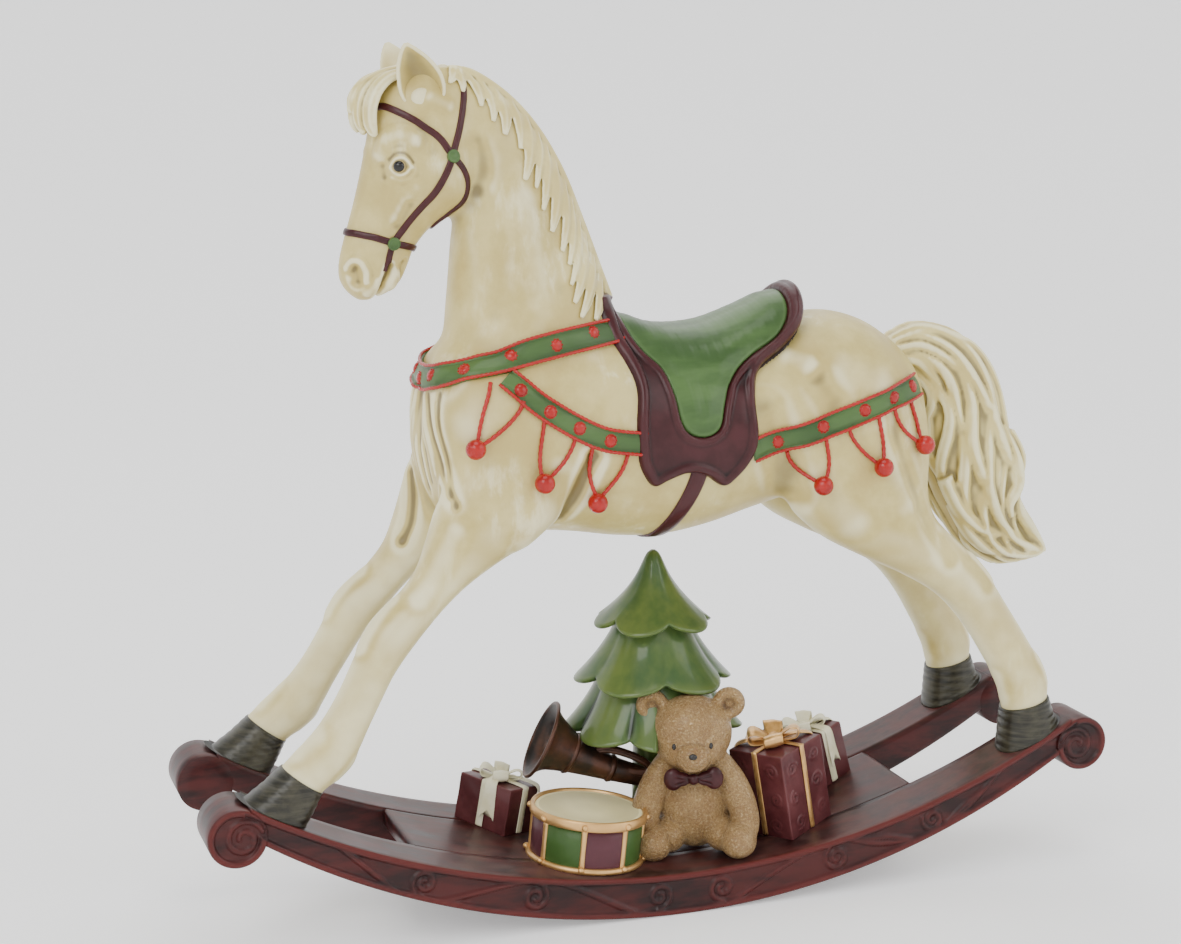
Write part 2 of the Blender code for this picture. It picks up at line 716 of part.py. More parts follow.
# Bridle: straps as (centre line, half width) on the sides of the head.
bridle_lines = [
    ([(-152, 423), (-142, 420), (-129, 413), (-118, 404), (-112, 396)], 1.7),
    ([(-112, 396), (-106, 412), (-102, 428), (-100, 446)], 1.7),
    ([(-112, 396), (-104, 386), (-103, 380), (-105, 372), (-112, 362)], 1.7),
    ([(-112, 396), (-116, 386), (-121, 378), (-132, 365), (-140, 353)], 1.7),
    ([(-172, 359), (-162, 358), (-150, 356), (-140, 353), (-131, 350.5), (-120, 349)], 1.8),
    ([(-140, 353), (-142, 346), (-143, 338)], 1.6),
]


def line_outline(points, half):
    """A thin outline round a line of points."""
    left = []
    right = []
    for i, here in enumerate(points):
        along = Vector(points[min(i + 1, len(points) - 1)]) - Vector(points[max(i - 1, 0)])
        across = Vector((-along.y, along.x)).normalized() * half
        left.append(tuple(Vector(here) + across))
        right.append(tuple(Vector(here) - across))
    return left + right[::-1]


bridle_outlines = [line_outline(points, half) for points, half in bridle_lines]
bridle_plan = union(*[prism(outline, -wide, wide, True) for outline in bridle_outlines])
bridle_body = union(grown(head, bridle_relief), grown(neck, bridle_relief))
bridle = without(within(bridle_body, bridle_plan), head_gap, grown(neck, joint_gap))
for x, z, radius in ((-112, 395.5, 0.0042), (-140, 352.7, 0.0040)):
    for side in (-1, 1):
        place = placed(x, 0, z)
        start = Vector((place.x, side * wide, place.z))
        hit, normal, _, _ = tree_of(head).ray_cast(start, Vector((0, -side, 0)))
        turn = normal.to_track_quat("Z", "Y").to_matrix().to_4x4()
        rosette = moved(cylinder(radius, 0.0044, 10), turn, hit)
        bridle = union(bridle, without(rosette, rosette_root))
mane_gap = grown(bpy.data.objects["mane"].data, joint_gap)
forelock_gap = grown(bpy.data.objects["forelock"].data, joint_gap)
make("bridle", largest_body(without(bridle, mane_gap, forelock_gap)), burgundy)


# ---------------------------------------------------------------- on the deck

def settled(mesh, x, y, turn=0.0):
    """Stands a shape, whose own base is at z = 0, square on the deck at x, y."""
    lean = Matrix.Rotation(deck_slope(x), 4, "Y") @ Matrix.Rotation(turn, 4, "Z")
    return without(moved(mesh, lean, (x, y, deck_top(x))), ground)


# Drum: shell, skin laid in the top hoop, and a cage of two hoops and eight uprights.
drum_x = -0.044
drum_y = -0.0245
drum_sides = 20
shell_radius = drum_radius - 0.0016
shell_top = drum_height - 0.0012
shell = turned([(shell_radius, hoop_height * 0.4), (shell_radius, shell_top)], drum_sides)
make("drum_shell", settled(shell, drum_x, drum_y), drum_paint)
skin_radius = shell_radius - 0.0002
drum_skin = turned([(skin_radius, shell_top + joint_gap), (skin_radius, drum_height)], drum_sides)
make("drum_skin", settled(drum_skin, drum_x, drum_y), skin)


def hoop(low, high):
    outer = drum_radius + hoop_thickness / 2
    inner = shell_radius + joint_gap
    ring = turned([(outer, low), (outer, high)], drum_sides)
    return without(ring, turned([(inner, low - 0.001), (inner, high + 0.001)], drum_sides))


cage = union(hoop(0.0, hoop_height), hoop(drum_height - hoop_height, drum_height + 0.0008))
for k in range(8):
    angle = 2 * math.pi * (k + 0.5) / 8
    out = Vector((math.cos(angle), math.sin(angle), 0)) * (drum_radius + hoop_thickness * 0.35)
    rod = moved(cylinder(0.0012, drum_height - 0.001, 6), None, out + Vector((0, 0, drum_height / 2)))
    cage = union(cage, rod)
clear_radius = shell_radius + joint_gap
drum_clear = turned([(clear_radius, -0.001), (clear_radius, drum_height + 0.002)], drum_sides)
make("drum_cage", settled(largest_body(without(cage, drum_clear)), drum_x, drum_y), gold)
drum_gap = settled(cylinder(drum_radius + 0.0028, 2 * drum_height + 0.004, 16), drum_x, drum_y)

# Bear: the parts of its figure as (centre, radii), facing -Y before it is turned.
bear_parts = [
    ((0, 0, 22), (18, 15, 22)), ((0, -3, 58), (19.5, 16, 18)), ((0, -17, 51), (9, 7, 7.5)),
    ((-17, -1, 73), (8, 5, 8)), ((17, -1, 73), (8, 5, 8)), ((-18, -5, 26), (7.5, 8, 16)),
    ((18, -5, 26), (7.5, 8, 16)), ((-20, -14, 8), (9.5, 13, 9)), ((20, -14, 8), (9.5, 13, 9)),
]
bear_x = 0.0200
bear_y = -0.0235
bear_turn = math.radians(-20)
bear = None
for centre, radii in bear_parts:
    part = ball(1.0, 10, 6, [r * mm * bear_size for r in radii])
    part = moved(part, None, [c * mm * bear_size for c in centre])
    bear = part if bear is None else union(bear, part)
bear = without(settled(bear, bear_x, bear_y, bear_turn), drum_gap)
make("bear", bear, bear_fur)
bear_gap = grown(bear, joint_gap)

tie = union(
    moved(ball(1.0, 8, 6, (7 * mm, 3 * mm, 5 * mm)), None, (-7.5 * mm, 0, 0)),
    moved(ball(1.0, 8, 6, (7 * mm, 3 * mm, 5 * mm)), None, (7.5 * mm, 0, 0)),
    ball(1.0, 8, 6, (3 * mm, 3.4 * mm, 3 * mm)),
)
tie.transform(Matrix.Scale(bear_size, 4))
tie = moved(tie, Matrix.Rotation(bear_turn, 4, "Z"),
            Vector((bear_x, bear_y, deck_top(bear_x)))
            + Matrix.Rotation(bear_turn, 3, "Z") @ Vector((0, -15.25, 39)) * mm * bear_size)
make("bear_bow_tie", largest_body(without(tie, bear_gap)), burgundy)

# Bugle: a bell on a bent, tapering tube, with a folded loop of tubing on its back.
bugle_path = [
    (-57, 8, 81), (-52, 7, 78.5), (-44, 6, 74), (-33, 4, 68.5), (-20, 2, 63), (-8, 0, 59), (2, -2, 56),
]
bugle_radii = [1.0, 0.74, 0.56, 0.42, 0.33, 0.28, 0.25]
bugle_points = [Vector(p) * mm for p in bugle_path]
bugle_scale = [r * bugle_bell_radius for r in bugle_radii]
bugle = tube(bugle_points, bugle_scale, 16)
mouth = (bugle_points[0] - bugle_points[1]).normalized()
hollow = tube(
    [bugle_points[0] + mouth * 0.002, bugle_points[0] - mouth * 0.0005, bugle_points[1], bugle_points[2]],
    [bugle_scale[0] - 0.0010, bugle_scale[0] - 0.0016, bugle_scale[1] - 0.0018, 0.004], 16,
)
loop_points = []
for k in range(13):
    angle = 2 * math.pi * k / 12
    loop_points.append(Vector((-14, -2, 68)) * mm + Vector((
        15 * mm * math.cos(angle) * 0.94, -4 * mm * math.cos(angle),
        (4.6 * math.sin(angle) - 15 * 0.34 * math.cos(angle)) * mm)))
loop_half = [tube(loop_points[:7], [0.0021] * 7, 8), tube(loop_points[6:], [0.0021] * 7, 8)]
bugle = union(without(bugle, hollow), *loop_half)
bugle = largest_body(without(bugle, drum_gap, bear_gap, ground))
make("bugle", bugle, bronze)
bugle_gap = grown(bugle, joint_gap)

# Tree: three skirts of boughs over a trunk, with the hem of each skirt in soft folds.
tree_x = 0.008
tree_y = 0.012


def bough_tier(hem, tip, hem_radius, tip_radius, folds, phase):
    rings = []
    points = []
    sides = 20
    for blend, height in ((0.30, hem + 0.006), (1.0, hem), (0.86, hem + 0.16 * (tip - hem)),
                          (0.45, hem + 0.5 * (tip - hem)), (0.0, tip)):
        rings.append(list(range(len(points), len(points) + sides)))
        radius = tip_radius + (hem_radius - tip_radius) * blend
        for k in range(sides):
            angle = 2 * math.pi * k / sides
            wave = math.cos(folds * angle + phase)
            fold = 1 + 0.07 * blend * wave
            drop = -0.003 * blend * wave
            reach = radius * fold
            points.append((reach * math.cos(angle), reach * math.sin(angle), height + drop))
    return mesh_from(points, skinned(rings))


tree = moved(cylinder(0.011, tree_height * 0.5, 10), None, (0, 0, tree_height * 0.25))
for hem, tip, width, narrow, folds, phase in (
    (0.37, 0.66, 1.00, 0.42, 6, 0.4), (0.585, 0.85, 0.90, 0.26, 6, 1.9), (0.785, 1.0, 0.66, 0.03, 5, 0.2),
):
    heights = (hem * tree_height, tip * tree_height)
    tier = bough_tier(*heights, width * tree_radius, narrow * tree_radius, folds, phase)
    tree = union(tree, tier)
tree = moved(tree, None, (tree_x, tree_y, deck_top(tree_x)))
tree = without(tree, ground, bear_gap, bugle_gap, drum_gap)
make("tree", largest_body(tree), fir)
tree_gap = grown(bpy.data.objects["tree"].data, joint_gap)

# Gifts: (centre x and y, size, turn, ribbon finish, bow size). A ribbon is two crossed bands and a bow.
gifts = {
    "small": ((-0.0795, 0.0270), (0.024, 0.036, 0.026), math.radians(33), cream, 0.80),
    "large": ((0.0745, -0.0215), (0.036, 0.036, 0.048), math.radians(29), gold, 1.0),
    "back": ((0.1120, 0.0215), (0.030, 0.028, 0.031), math.radians(26), cream, 0.80),
}


def bow(size):
    """Four loops and a knot."""
    shape = ball(1.0, 8, 5, (3.2 * mm * size, 3.2 * mm * size, 3.0 * mm * size))
    for k in range(4):
        turn = Matrix.Rotation(math.pi / 4 + math.pi / 2 * k, 4, "Z")
        loop = ball(1.0, 7, 4, (6.5 * mm * size, 3.4 * mm * size, 4.4 * mm * size))
        shape = union(shape, moved(moved(loop, None, (7.2 * mm * size, 0, 0.8 * mm)), turn))
    return shape


for name, ((x, y), (wide_x, wide_y, tall), turn, finish, bow_size) in gifts.items():
    paper = box((wide_x, wide_y, tall), (0, 0, tall / 2))
    paper = settled(paper, x, y, turn)
    paper = largest_body(without(paper, bear_gap, tree_gap, bugle_gap))
    make("gift_" + name, paper, wrapping)
    over = ribbon_thickness + joint_gap
    under = over - 0.0001                        # the band below at the crossing
    bands = union(
        box((ribbon_width, wide_y + 2 * over, tall + over), (0, 0, (tall + over) / 2)),
        box((wide_x + 2 * over, ribbon_width, tall + under), (0, 0, (tall + under) / 2)),
        moved(bow(bow_size), None, (0, 0, tall + 3.4 * mm * bow_size)),
    )
    room = box((wide_x + 2 * joint_gap, wide_y + 2 * joint_gap, tall + joint_gap + 0.01),
               (0, 0, (tall + joint_gap - 0.01) / 2))
    ribbon = settled(without(bands, room), x, y, turn)
    ribbon = without(ribbon, bear_gap, tree_gap, bugle_gap)
    make("gift_" + name + "_ribbon", largest_body(ribbon), finish)

for leftover in list(bpy.data.meshes):
    if leftover.users == 0:
        bpy.data.meshes.remove(leftover)
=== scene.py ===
import math

import bmesh
import bpy
import numpy as np
from mathutils import Matrix, Vector
from mathutils.bvhtree import BVHTree


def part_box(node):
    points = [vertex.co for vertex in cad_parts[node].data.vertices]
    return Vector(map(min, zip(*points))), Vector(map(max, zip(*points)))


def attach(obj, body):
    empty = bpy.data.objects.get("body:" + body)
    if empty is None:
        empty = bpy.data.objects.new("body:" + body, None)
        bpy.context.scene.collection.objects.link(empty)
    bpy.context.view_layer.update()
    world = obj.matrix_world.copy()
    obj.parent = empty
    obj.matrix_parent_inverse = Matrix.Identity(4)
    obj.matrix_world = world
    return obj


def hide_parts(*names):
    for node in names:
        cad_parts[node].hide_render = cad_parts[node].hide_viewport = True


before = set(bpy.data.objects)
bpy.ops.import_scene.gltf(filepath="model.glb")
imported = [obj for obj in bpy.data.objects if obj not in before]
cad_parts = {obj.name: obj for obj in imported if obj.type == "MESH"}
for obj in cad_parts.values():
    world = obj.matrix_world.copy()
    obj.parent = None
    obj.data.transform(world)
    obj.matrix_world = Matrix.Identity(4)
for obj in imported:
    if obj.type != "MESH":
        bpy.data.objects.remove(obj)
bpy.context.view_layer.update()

# Lengths in the tables are millimetres. The horse faces -X, its left side is -Y.
mm = 0.001


# paint

class Wire:  # one output of a node, so that shader maths reads as arithmetic
    def __init__(self, paint, socket):
        self.paint = paint
        self.socket = socket

    def __add__(self, other):
        return self.paint.maths("ADD", self, other)

    def __sub__(self, other):
        return self.paint.maths("SUBTRACT", self, other)

    def __rsub__(self, other):
        return self.paint.maths("SUBTRACT", other, self)

    def __mul__(self, other):
        return self.paint.maths("MULTIPLY", self, other)

    __radd__ = __add__
    __rmul__ = __mul__


class Paint:  # one material, built round its Principled shader
    def __init__(self, name, **fixed):
        self.material = bpy.data.materials.new(name)
        self.material.use_nodes = True
        self.nodes = self.material.node_tree.nodes
        self.links = self.material.node_tree.links
        self.shader = self.nodes["Principled BSDF"]
        self.feed(self.shader, {key.replace("_", " "): value for key, value in fixed.items()})

    def feed(self, node, values):
        for key, value in values.items():
            socket = node.inputs[key]
            if isinstance(value, Wire):
                self.links.new(value.socket, socket)
            elif socket.type == "RGBA" and len(value) == 3:
                socket.default_value = (*value, 1)
            else:
                socket.default_value = value

    def node(self, kind, settings=None, values=None, output=0):
        made = self.nodes.new("ShaderNode" + kind)
        for key, value in (settings or {}).items():
            if key == "stops":
                for stop, (place, colour) in zip(made.color_ramp.elements, value):
                    stop.position = place
                    stop.color = (*colour, 1)
            else:
                setattr(made, key, value)
        self.feed(made, values or {})
        return Wire(self, made.outputs[output])

    def maths(self, operation, first, second):
        return self.node("Math", {"operation": operation}, {0: first, 1: second})

    def clamp(self, value, low, high):  # 0 at low, 1 at high
        values = {"Value": value, "From Min": low, "From Max": high}
        return self.node("MapRange", {"interpolation_type": "SMOOTHSTEP"}, values)

    def place(self, stretch=(1, 1, 1), turn=(0, 0, 0)):
        spot = self.node("TexCoord", output="Object")
        return self.node("Mapping", None, {"Vector": spot, "Scale": stretch, "Rotation": turn})

    def noise(self, scale, detail=4, rough=0.55, warp=0.0, stretch=(1, 1, 1), turn=(0, 0, 0)):
        values = {"Vector": self.place(stretch, turn), "Scale": scale, "Detail": detail,
                  "Roughness": rough, "Distortion": warp}
        return self.node("TexNoise", None, values)

    def relief(self):  # 0.5 on plain surface, more on ridges, less in hollows
        return self.node("Attribute", {"attribute_name": "relief"}, output="Fac")

    def mix(self, factor, first, second):
        values = {0: factor, 6: self.tone(first), 7: self.tone(second)}
        return self.node("Mix", {"data_type": "RGBA"}, values, output=2)

    def tone(self, colour):
        return colour if isinstance(colour, Wire) else (*colour, 1)

    def bump(self, height, strength, distance=0.001):
        values = {"Height": height, "Strength": strength, "Distance": distance}
        return self.node("Bump", None, values)

    def finish(self, **wires):
        self.feed(self.shader, {key.replace("_", " "): value for key, value in wires.items()})
        return self.material


def coatPaint(name, body, pale, paintedShade, rubbed):
    paint = Paint(name, Specular_IOR_Level=0.45, Coat_Roughness=0.22)
    relief = paint.relief()
    clouds = paint.clamp(paint.noise(34, 5, 0.6), 0.38, 0.68)
    strokes = paint.clamp(paint.noise(150, 4, 0.6, stretch=(1, 1, 0.35)), 0.46, 0.72)
    pearl = paint.clamp(paint.noise(17, 3, 0.5), 0.50, 0.66) * strokes
    colour = paint.mix(clouds, body, pale)
    colour = paint.mix(pearl * 0.55, colour, rubbed)
    # paler on the ridges: rubbed wear, and partly a painted highlight
    colour = paint.mix(paint.clamp(relief, 0.56, 0.86) * 0.75, colour, rubbed)
    # darker in the hollows: painted shade
    colour = paint.mix(paint.clamp(relief, 0.47, 0.10) * 0.85, colour, paintedShade)
    grain = paint.noise(900, 3, 0.6, stretch=(1, 1, 0.3)) * 0.6 + paint.noise(220, 3, 0.5)
    return paint.finish(Base_Color=colour, Roughness=0.42 - pearl * 0.12, Coat_Weight=0.12 + pearl * 0.2,
                        Normal=paint.bump(grain, 0.16, 0.0006))


def rubbedPaint(name, dark, body, rubbed, roughness, dust=0.0):
    paint = Paint(name, Specular_IOR_Level=0.22, Coat_Roughness=0.2)
    relief = paint.relief()
    strokes = paint.noise(95, 5, 0.62, stretch=(0.25, 1, 1))
    colour = paint.mix(paint.clamp(strokes, 0.36, 0.66), dark, body)
    # darker in the hollows: painted shade
    colour = paint.mix(paint.clamp(relief, 0.46, 0.12), colour, dark)
    worn = paint.clamp(relief + strokes * 0.12, 0.64, 0.84)
    colour = paint.mix(worn, colour, rubbed)
    up = paint.node("SeparateXYZ", None, {0: paint.node("NewGeometry", output="Normal")}, output=2)
    film = paint.clamp(up, 0.75, 1.0) * paint.clamp(paint.noise(60, 5, 0.65), 0.30, 0.75) * dust
    colour = paint.mix(film, colour, (0.15, 0.085, 0.075))
    grain = paint.noise(420, 4, 0.6, stretch=(0.15, 1, 1))
    return paint.finish(Base_Color=colour, Roughness=roughness + film * 0.3 + strokes * 0.1,
                        Coat_Weight=0.12 - film * 0.1, Normal=paint.bump(grain, 0.12, 0.0005))


def glossPaint(name, dark, body, light, roughness, coat, scale=60, stretch=(1, 1, 1), metallic=0.0):
    paint = Paint(name, Specular_IOR_Level=0.5 if metallic else 0.22, Coat_Roughness=0.08, Metallic=metallic)
    relief = paint.relief()
    strokes = paint.noise(scale, 4, 0.6, stretch=stretch)
    colour = paint.mix(paint.clamp(strokes, 0.34, 0.68), body, light)
    # darker in the hollows: painted shade; paler on the ridges: painted highlight
    colour = paint.mix(paint.clamp(relief, 0.46, 0.12), colour, dark)
    colour = paint.mix(paint.clamp(relief, 0.60, 0.88) * 0.6, colour, light)
    height = paint.noise(scale * 3, 3, 0.5, stretch=stretch)
    return paint.finish(Base_Color=colour, Roughness=roughness + strokes * 0.12,
                        Coat_Weight=coat * 0.6 - strokes * 0.06,
                        Normal=paint.bump(height, 0.10, 0.0005))


# mesh work

def dense(rows, steps):  # a smooth curve through rows of numbers
    rows = np.asarray(rows, float)
    spots = np.linspace(0, len(rows) - 1, (len(rows) - 1) * steps + 1)
    i = np.minimum(spots.astype(int), len(rows) - 2)
    t = (spots - i)[:, None]
    a, b, c, d = (rows[np.clip(i + k, 0, len(rows) - 1)] for k in (-1, 0, 1, 2))
    return 0.5 * (2 * b + (c - a) * t + (2 * a - 5 * b + 4 * c - d) * t * t + (3 * b - a - 3 * c + d) * t ** 3)


def evenly(path, count):  # the same path with its points equally far apart
    path = np.asarray(path, float)
    gone = np.concatenate([[0], np.cumsum(np.linalg.norm(np.diff(path, axis=0), axis=1))])
    spots = np.linspace(0, gone[-1], count)
    return np.stack([np.interp(spots, gone, path[:, k]) for k in range(path.shape[1])], 1)


def gridFaces(rows, columns, closed=True, start=0):
    faces = []
    for r in range(rows - 1):
        for c in range(columns if closed else columns - 1):
            n = (c + 1) % columns
            faces.append((start + r * columns + c, start + r * columns + n,
                          start + (r + 1) * columns + n, start + (r + 1) * columns + c))
    return faces


def skinRings(rings, closed=True, capped=True):  # rings: array (rows, columns, 3)
    rows, columns = rings.shape[:2]
    faces = gridFaces(rows, columns, closed)
    if capped:
        faces.append(tuple(range(columns))[::-1])
        faces.append(tuple((rows - 1) * columns + c for c in range(columns)))
    return rings.reshape(-1, 3), faces


def turnedRings(profile, around):  # a (radius, height) profile turned about Z
    spin = 2 * math.pi * np.arange(around) / around
    return np.array([np.stack([r * np.cos(spin), r * np.sin(spin), np.full(around, h)], 1) for r,
                     h in profile])


def merge(parts):  # several (points, faces) as one
    points, faces, start = [], [], 0
    for some, more in parts:
        points.append(np.asarray(some, float))
        faces += [tuple(start + i for i in face) for face in more]
        start += len(some)
    return np.concatenate(points), faces


def addMesh(name, points, faces, outward=True):
    mesh = bpy.data.meshes.new(name)
    mesh.from_pydata([tuple(p) for p in points], [], faces)
    if outward:
        form = bmesh.new()
        form.from_mesh(mesh)
        bmesh.ops.recalc_face_normals(form, faces=form.faces)
        form.to_mesh(mesh)
        form.free()
    mesh.shade_smooth()
    thing = bpy.data.objects.new(name, mesh)
    bpy.context.scene.collection.objects.link(thing)
    return thing


def someOf(name, points, faces):  # these faces as a mesh of their own, and the points they use
    used = np.unique([i for face in faces for i in face])
    place = np.full(len(points), -1)
    place[used] = np.arange(len(used))
    return addMesh(name, points[used], [tuple(place[i] for i in face) for face in faces], outward=False), used


def applied(thing):  # bakes the modifiers into the mesh
    graph = bpy.context.evaluated_depsgraph_get()
    mesh = bpy.data.meshes.new_from_object(thing.evaluated_get(graph))
    thing.modifiers.clear()
    thing.data = mesh
    return thing


def fused(name, parts, voxel):
    thing = addMesh(name, *merge(parts))
    step = thing.modifiers.new("fuse", "REMESH")
    step.mode = "VOXEL"
    step.voxel_size = voxel * mm
    step.use_smooth_shade = True
    return applied(thing)


def pointsOf(thing):
    points = np.empty(len(thing.data.vertices) * 3, np.float32)
    thing.data.vertices.foreach_get("co", points)
    return points.reshape(-1, 3).astype(float)


def normalsOf(thing):
    normals = np.empty(len(thing.data.vertices) * 3, np.float32)
    thing.data.vertices.foreach_get("normal", normals)
    return normals.reshape(-1, 3).astype(float)


def setPoints(thing, points):
    thing.data.vertices.foreach_set("co", points.astype(np.float32).ravel())
    thing.data.update()


def edgesOf(thing):
    edges = np.empty(len(thing.data.edges) * 2, np.int32)
    thing.data.edges.foreach_get("vertices", edges)
    return edges.reshape(-1, 2)


def relaxed(points, edges, rounds, weight=0.6):  # moves each point towards the middle of its neighbours
    count = len(points)
    a, b = edges[:, 0], edges[:, 1]
    near = np.bincount(a, minlength=count) + np.bincount(b, minlength=count)
    near = np.maximum(near, 1)[:, None]
    weight = np.broadcast_to(np.asarray(weight, float).reshape(-1, 1), (count, 1))
    for _ in range(rounds):
        total = np.stack([np.bincount(a, points[b, k], count) + np.bincount(b, points[a, k], count)
                          for k in range(points.shape[1])], 1)
        points = points + (total / near - points) * weight
    return points


def setRelief(thing, relief):
    layer = thing.data.attributes.new("relief", "FLOAT", "POINT")
    layer.data.foreach_set("value", np.asarray(relief, np.float32))


def markRelief(thing, rounds=14, depth=0.35):  # height above a smoothed copy, for the paints
    points = pointsOf(thing)
    proud = ((points - relaxed(points, edgesOf(thing), rounds)) * normalsOf(thing)).sum(1)
    value = np.clip(0.5 + proud / (2 * depth * mm), 0, 1)
    value = relaxed(value[:, None], edgesOf(thing), 2)[:, 0]
    setRelief(thing, value)


def pathDistance(points, path):  # how far each point is from a line of points, and how far along it
    best = np.full(len(points), 1e9)
    along = np.zeros(len(points))
    for k in range(len(path) - 1):
        a, step = path[k], path[k + 1] - path[k]
        t = np.clip(((points - a) @ step) / max(step @ step, 1e-18), 0, 1)
        gap = np.linalg.norm(points - a - t[:, None] * step, axis=1)
        closer = gap < best
        best[closer] = gap[closer]
        along[closer] = (k + t[closer]) / (len(path) - 1)
    return best, along


def ramp(d, start, end):
    t = np.clip((d - start) / (end - start), 0, 1)
    return t * t * (3 - 2 * t)


def tool(points, normals, path, width, depth):  # presses or raises the surface along a path
    path = np.asarray(path, float) * mm
    width = width * mm
    close = ((points > path.min(0) - width) & (points < path.max(0) + width)).all(1)
    some = np.nonzero(close)[0]
    if len(some) == 0:
        return
    gap, _ = pathDistance(points[some], path)
    fall = np.clip(1 - (gap / width) ** 2, 0, 1) ** 2
    points[some] += normals[some] * (fall * depth * mm)[:, None]


def treeOf(points, faces):
    return BVHTree.FromPolygons([tuple(p) for p in points], faces)


def facesOf(thing):
    return [tuple(f.vertices) for f in thing.data.polygons]


def show(thing, material, slot, *nodes):  # the last step of every piece
    thing.data.materials.clear()
    thing.data.materials.append(material)
    if "relief" not in thing.data.attributes:
        markRelief(thing)
    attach(thing, "root")
    if nodes:
        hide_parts(*nodes)
    return thing


def twoSides():
    return ((-1, "left"), (1, "right"))


# camera, floor and light

camera = {"place": (-0.4222, -1.1280, 0.4596), "target": (-0.032, 0, 0.228), "lens": 70.24, "sensor": 36}
studio = {"floorRadius": 3.2, "wallRise": 3.0, "wallBend": 1.6, "floorTone": (0.86, 0.86, 0.86),
          "sky": (1.0, 1.0, 1.0), "skyStrength": 0.62, "floorGlow": 0.38}
lamps = [  # place, size, watts
    ((-1.5, -1.5, 1.9), 1.3, 26),
    ((1.7, -1.3, 1.5), 1.5, 11),
    ((0.3, 1.6, 2.1), 1.6, 18),
    ((-0.1, -0.2, 2.3), 1.2, 14),
]


def setCamera():
    lens = bpy.data.cameras.new("camera")
    lens.lens = camera["lens"]
    lens.sensor_width = camera["sensor"]
    lens.dof.use_dof = False
    thing = bpy.data.objects.new("camera", lens)
    thing.location = camera["place"]
    aim = Vector(camera["target"]) - Vector(camera["place"])
    thing.rotation_euler = aim.to_track_quat("-Z", "Y").to_euler()
    bpy.context.scene.collection.objects.link(thing)
    bpy.context.scene.camera = thing


def setStudio():
    bend, radius = studio["wallBend"], studio["floorRadius"]
    profile = [(0.02, 0), (0.5, 0), (1.2, 0), (radius - bend, 0)]
    for k in range(1, 13):
        angle = math.pi / 2 * k / 12
        profile.append((radius - bend + bend * math.sin(angle), bend - bend * math.cos(angle)))
    profile.append((radius, studio["wallRise"]))
    around = 96
    rings = np.array([[(r * math.cos(2 * math.pi * k / around), r * math.sin(2 * math.pi * k / around), z)
                       for k in range(around)] for r, z in profile])
    floor = addMesh("studioFloor", *skinRings(rings, capped=False), outward=False)
    floor.data.flip_normals()
    paint = Paint("studioFloor", Roughness=0.8, Emission_Strength=studio["floorGlow"])
    tone = paint.mix(paint.noise(3, 2), studio["floorTone"], (0.88, 0.88, 0.88))
    floor.data.materials.append(paint.finish(Base_Color=tone, Emission_Color=tone))
    world = bpy.data.worlds.new("studio")
    world.use_nodes = True
    world.node_tree.nodes["Background"].inputs[0].default_value = (*studio["sky"], 1)
    world.node_tree.nodes["Background"].inputs[1].default_value = studio["skyStrength"]
    bpy.context.scene.world = world
    for k, (place, size, watts) in enumerate(lamps):
        light = bpy.data.lights.new("lamp%d" % k, "AREA")
        light.size = size
        light.energy = watts
        thing = bpy.data.objects.new("lamp%d" % k, light)
        thing.location = place
        thing.rotation_euler = (Vector((0, 0, 0.2)) - Vector(place)).to_track_quat("-Z", "Y").to_euler()
        bpy.context.scene.collection.objects.link(thing)


setCamera()
setStudio()
print("camera and studio set")


# base: two carved runners and the deck between them

runnerLow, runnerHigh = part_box("runner_left")
deckLow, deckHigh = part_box("deck")
base = {
    "stance": -(runnerLow.y + runnerHigh.y) / 2,
    "width": runnerHigh.y - runnerLow.y - 0.0008,  # the scrolls stand a little proud
    "depth": 0.0224,
    "halfSpan": runnerHigh.x - 0.0149,
    "rise": 0.0728,
    "topRise": 0.0653,
    "scroll": 0.0149,
    "scrollHeight": 0.069,
    "border": 0.0030,
    "sunk": 0.0016,
    "ribs": [  # x in mm, and 0 to 1 up the panel
        [(-188, 0.95), (-171, 0.52), (-155, 0.08)],
        [(-144.3, 0.17), (-139, 0.08), (-132, 0.12), (-112.6, 0.50), (-96, 0.78), (-84, 0.93)],
        [(-72, 0.93), (-54.5, 0.68), (-38.7, 0.36), (-28, 0.16), (-17.4, 0.08)],
        [(21, 0.08), (28.1, 0.14), (42.3, 0.44), (58.7, 0.74), (75, 0.95)],
        [(92, 0.95), (101, 0.78), (118, 0.55), (136, 0.08)],
        [(92, 0.95), (112, 0.48), (138, 0.10)],
        [(151, 0.10), (164, 0.42), (176, 0.56), (188, 0.94)],
        [(151, 0.10), (168, 0.34), (188, 0.94)],
    ],
    "curls": [  # centre x, height, radius in mm, start angle, turns (negative runs clockwise)
        (-141, 0.50, 6.6, 215, -1.45), (-82.3, 0.52, 7.2, 70, -1.5), (-14.2, 0.50, 7.2, -95, 1.45),
        (21.4, 0.50, 7.2, 275, -1.45), (87.5, 0.52, 7.0, 130, 1.5), (144.3, 0.48, 6.2, 170, 1.5),
    ],
}
rockArc = (base["halfSpan"] ** 2 + base["rise"] ** 2) / (2 * base["rise"])
topArc = (base["halfSpan"] ** 2 + base["topRise"] ** 2) / (2 * base["topRise"])


def lowAt(x):
    return rockArc - np.sqrt(rockArc ** 2 - x ** 2)


def topAt(x):
    return base["depth"] + topArc - np.sqrt(topArc ** 2 - x ** 2)


def curl(centre, radius, start, turns, tail=0.16, steps=40):
    angle = math.radians(start) + np.linspace(0, turns * 2 * math.pi, steps)
    reach = radius * np.linspace(1, tail, steps) ** 0.9
    return np.stack([centre[0] + reach * np.cos(angle), centre[1] + reach * np.sin(angle)], 1)


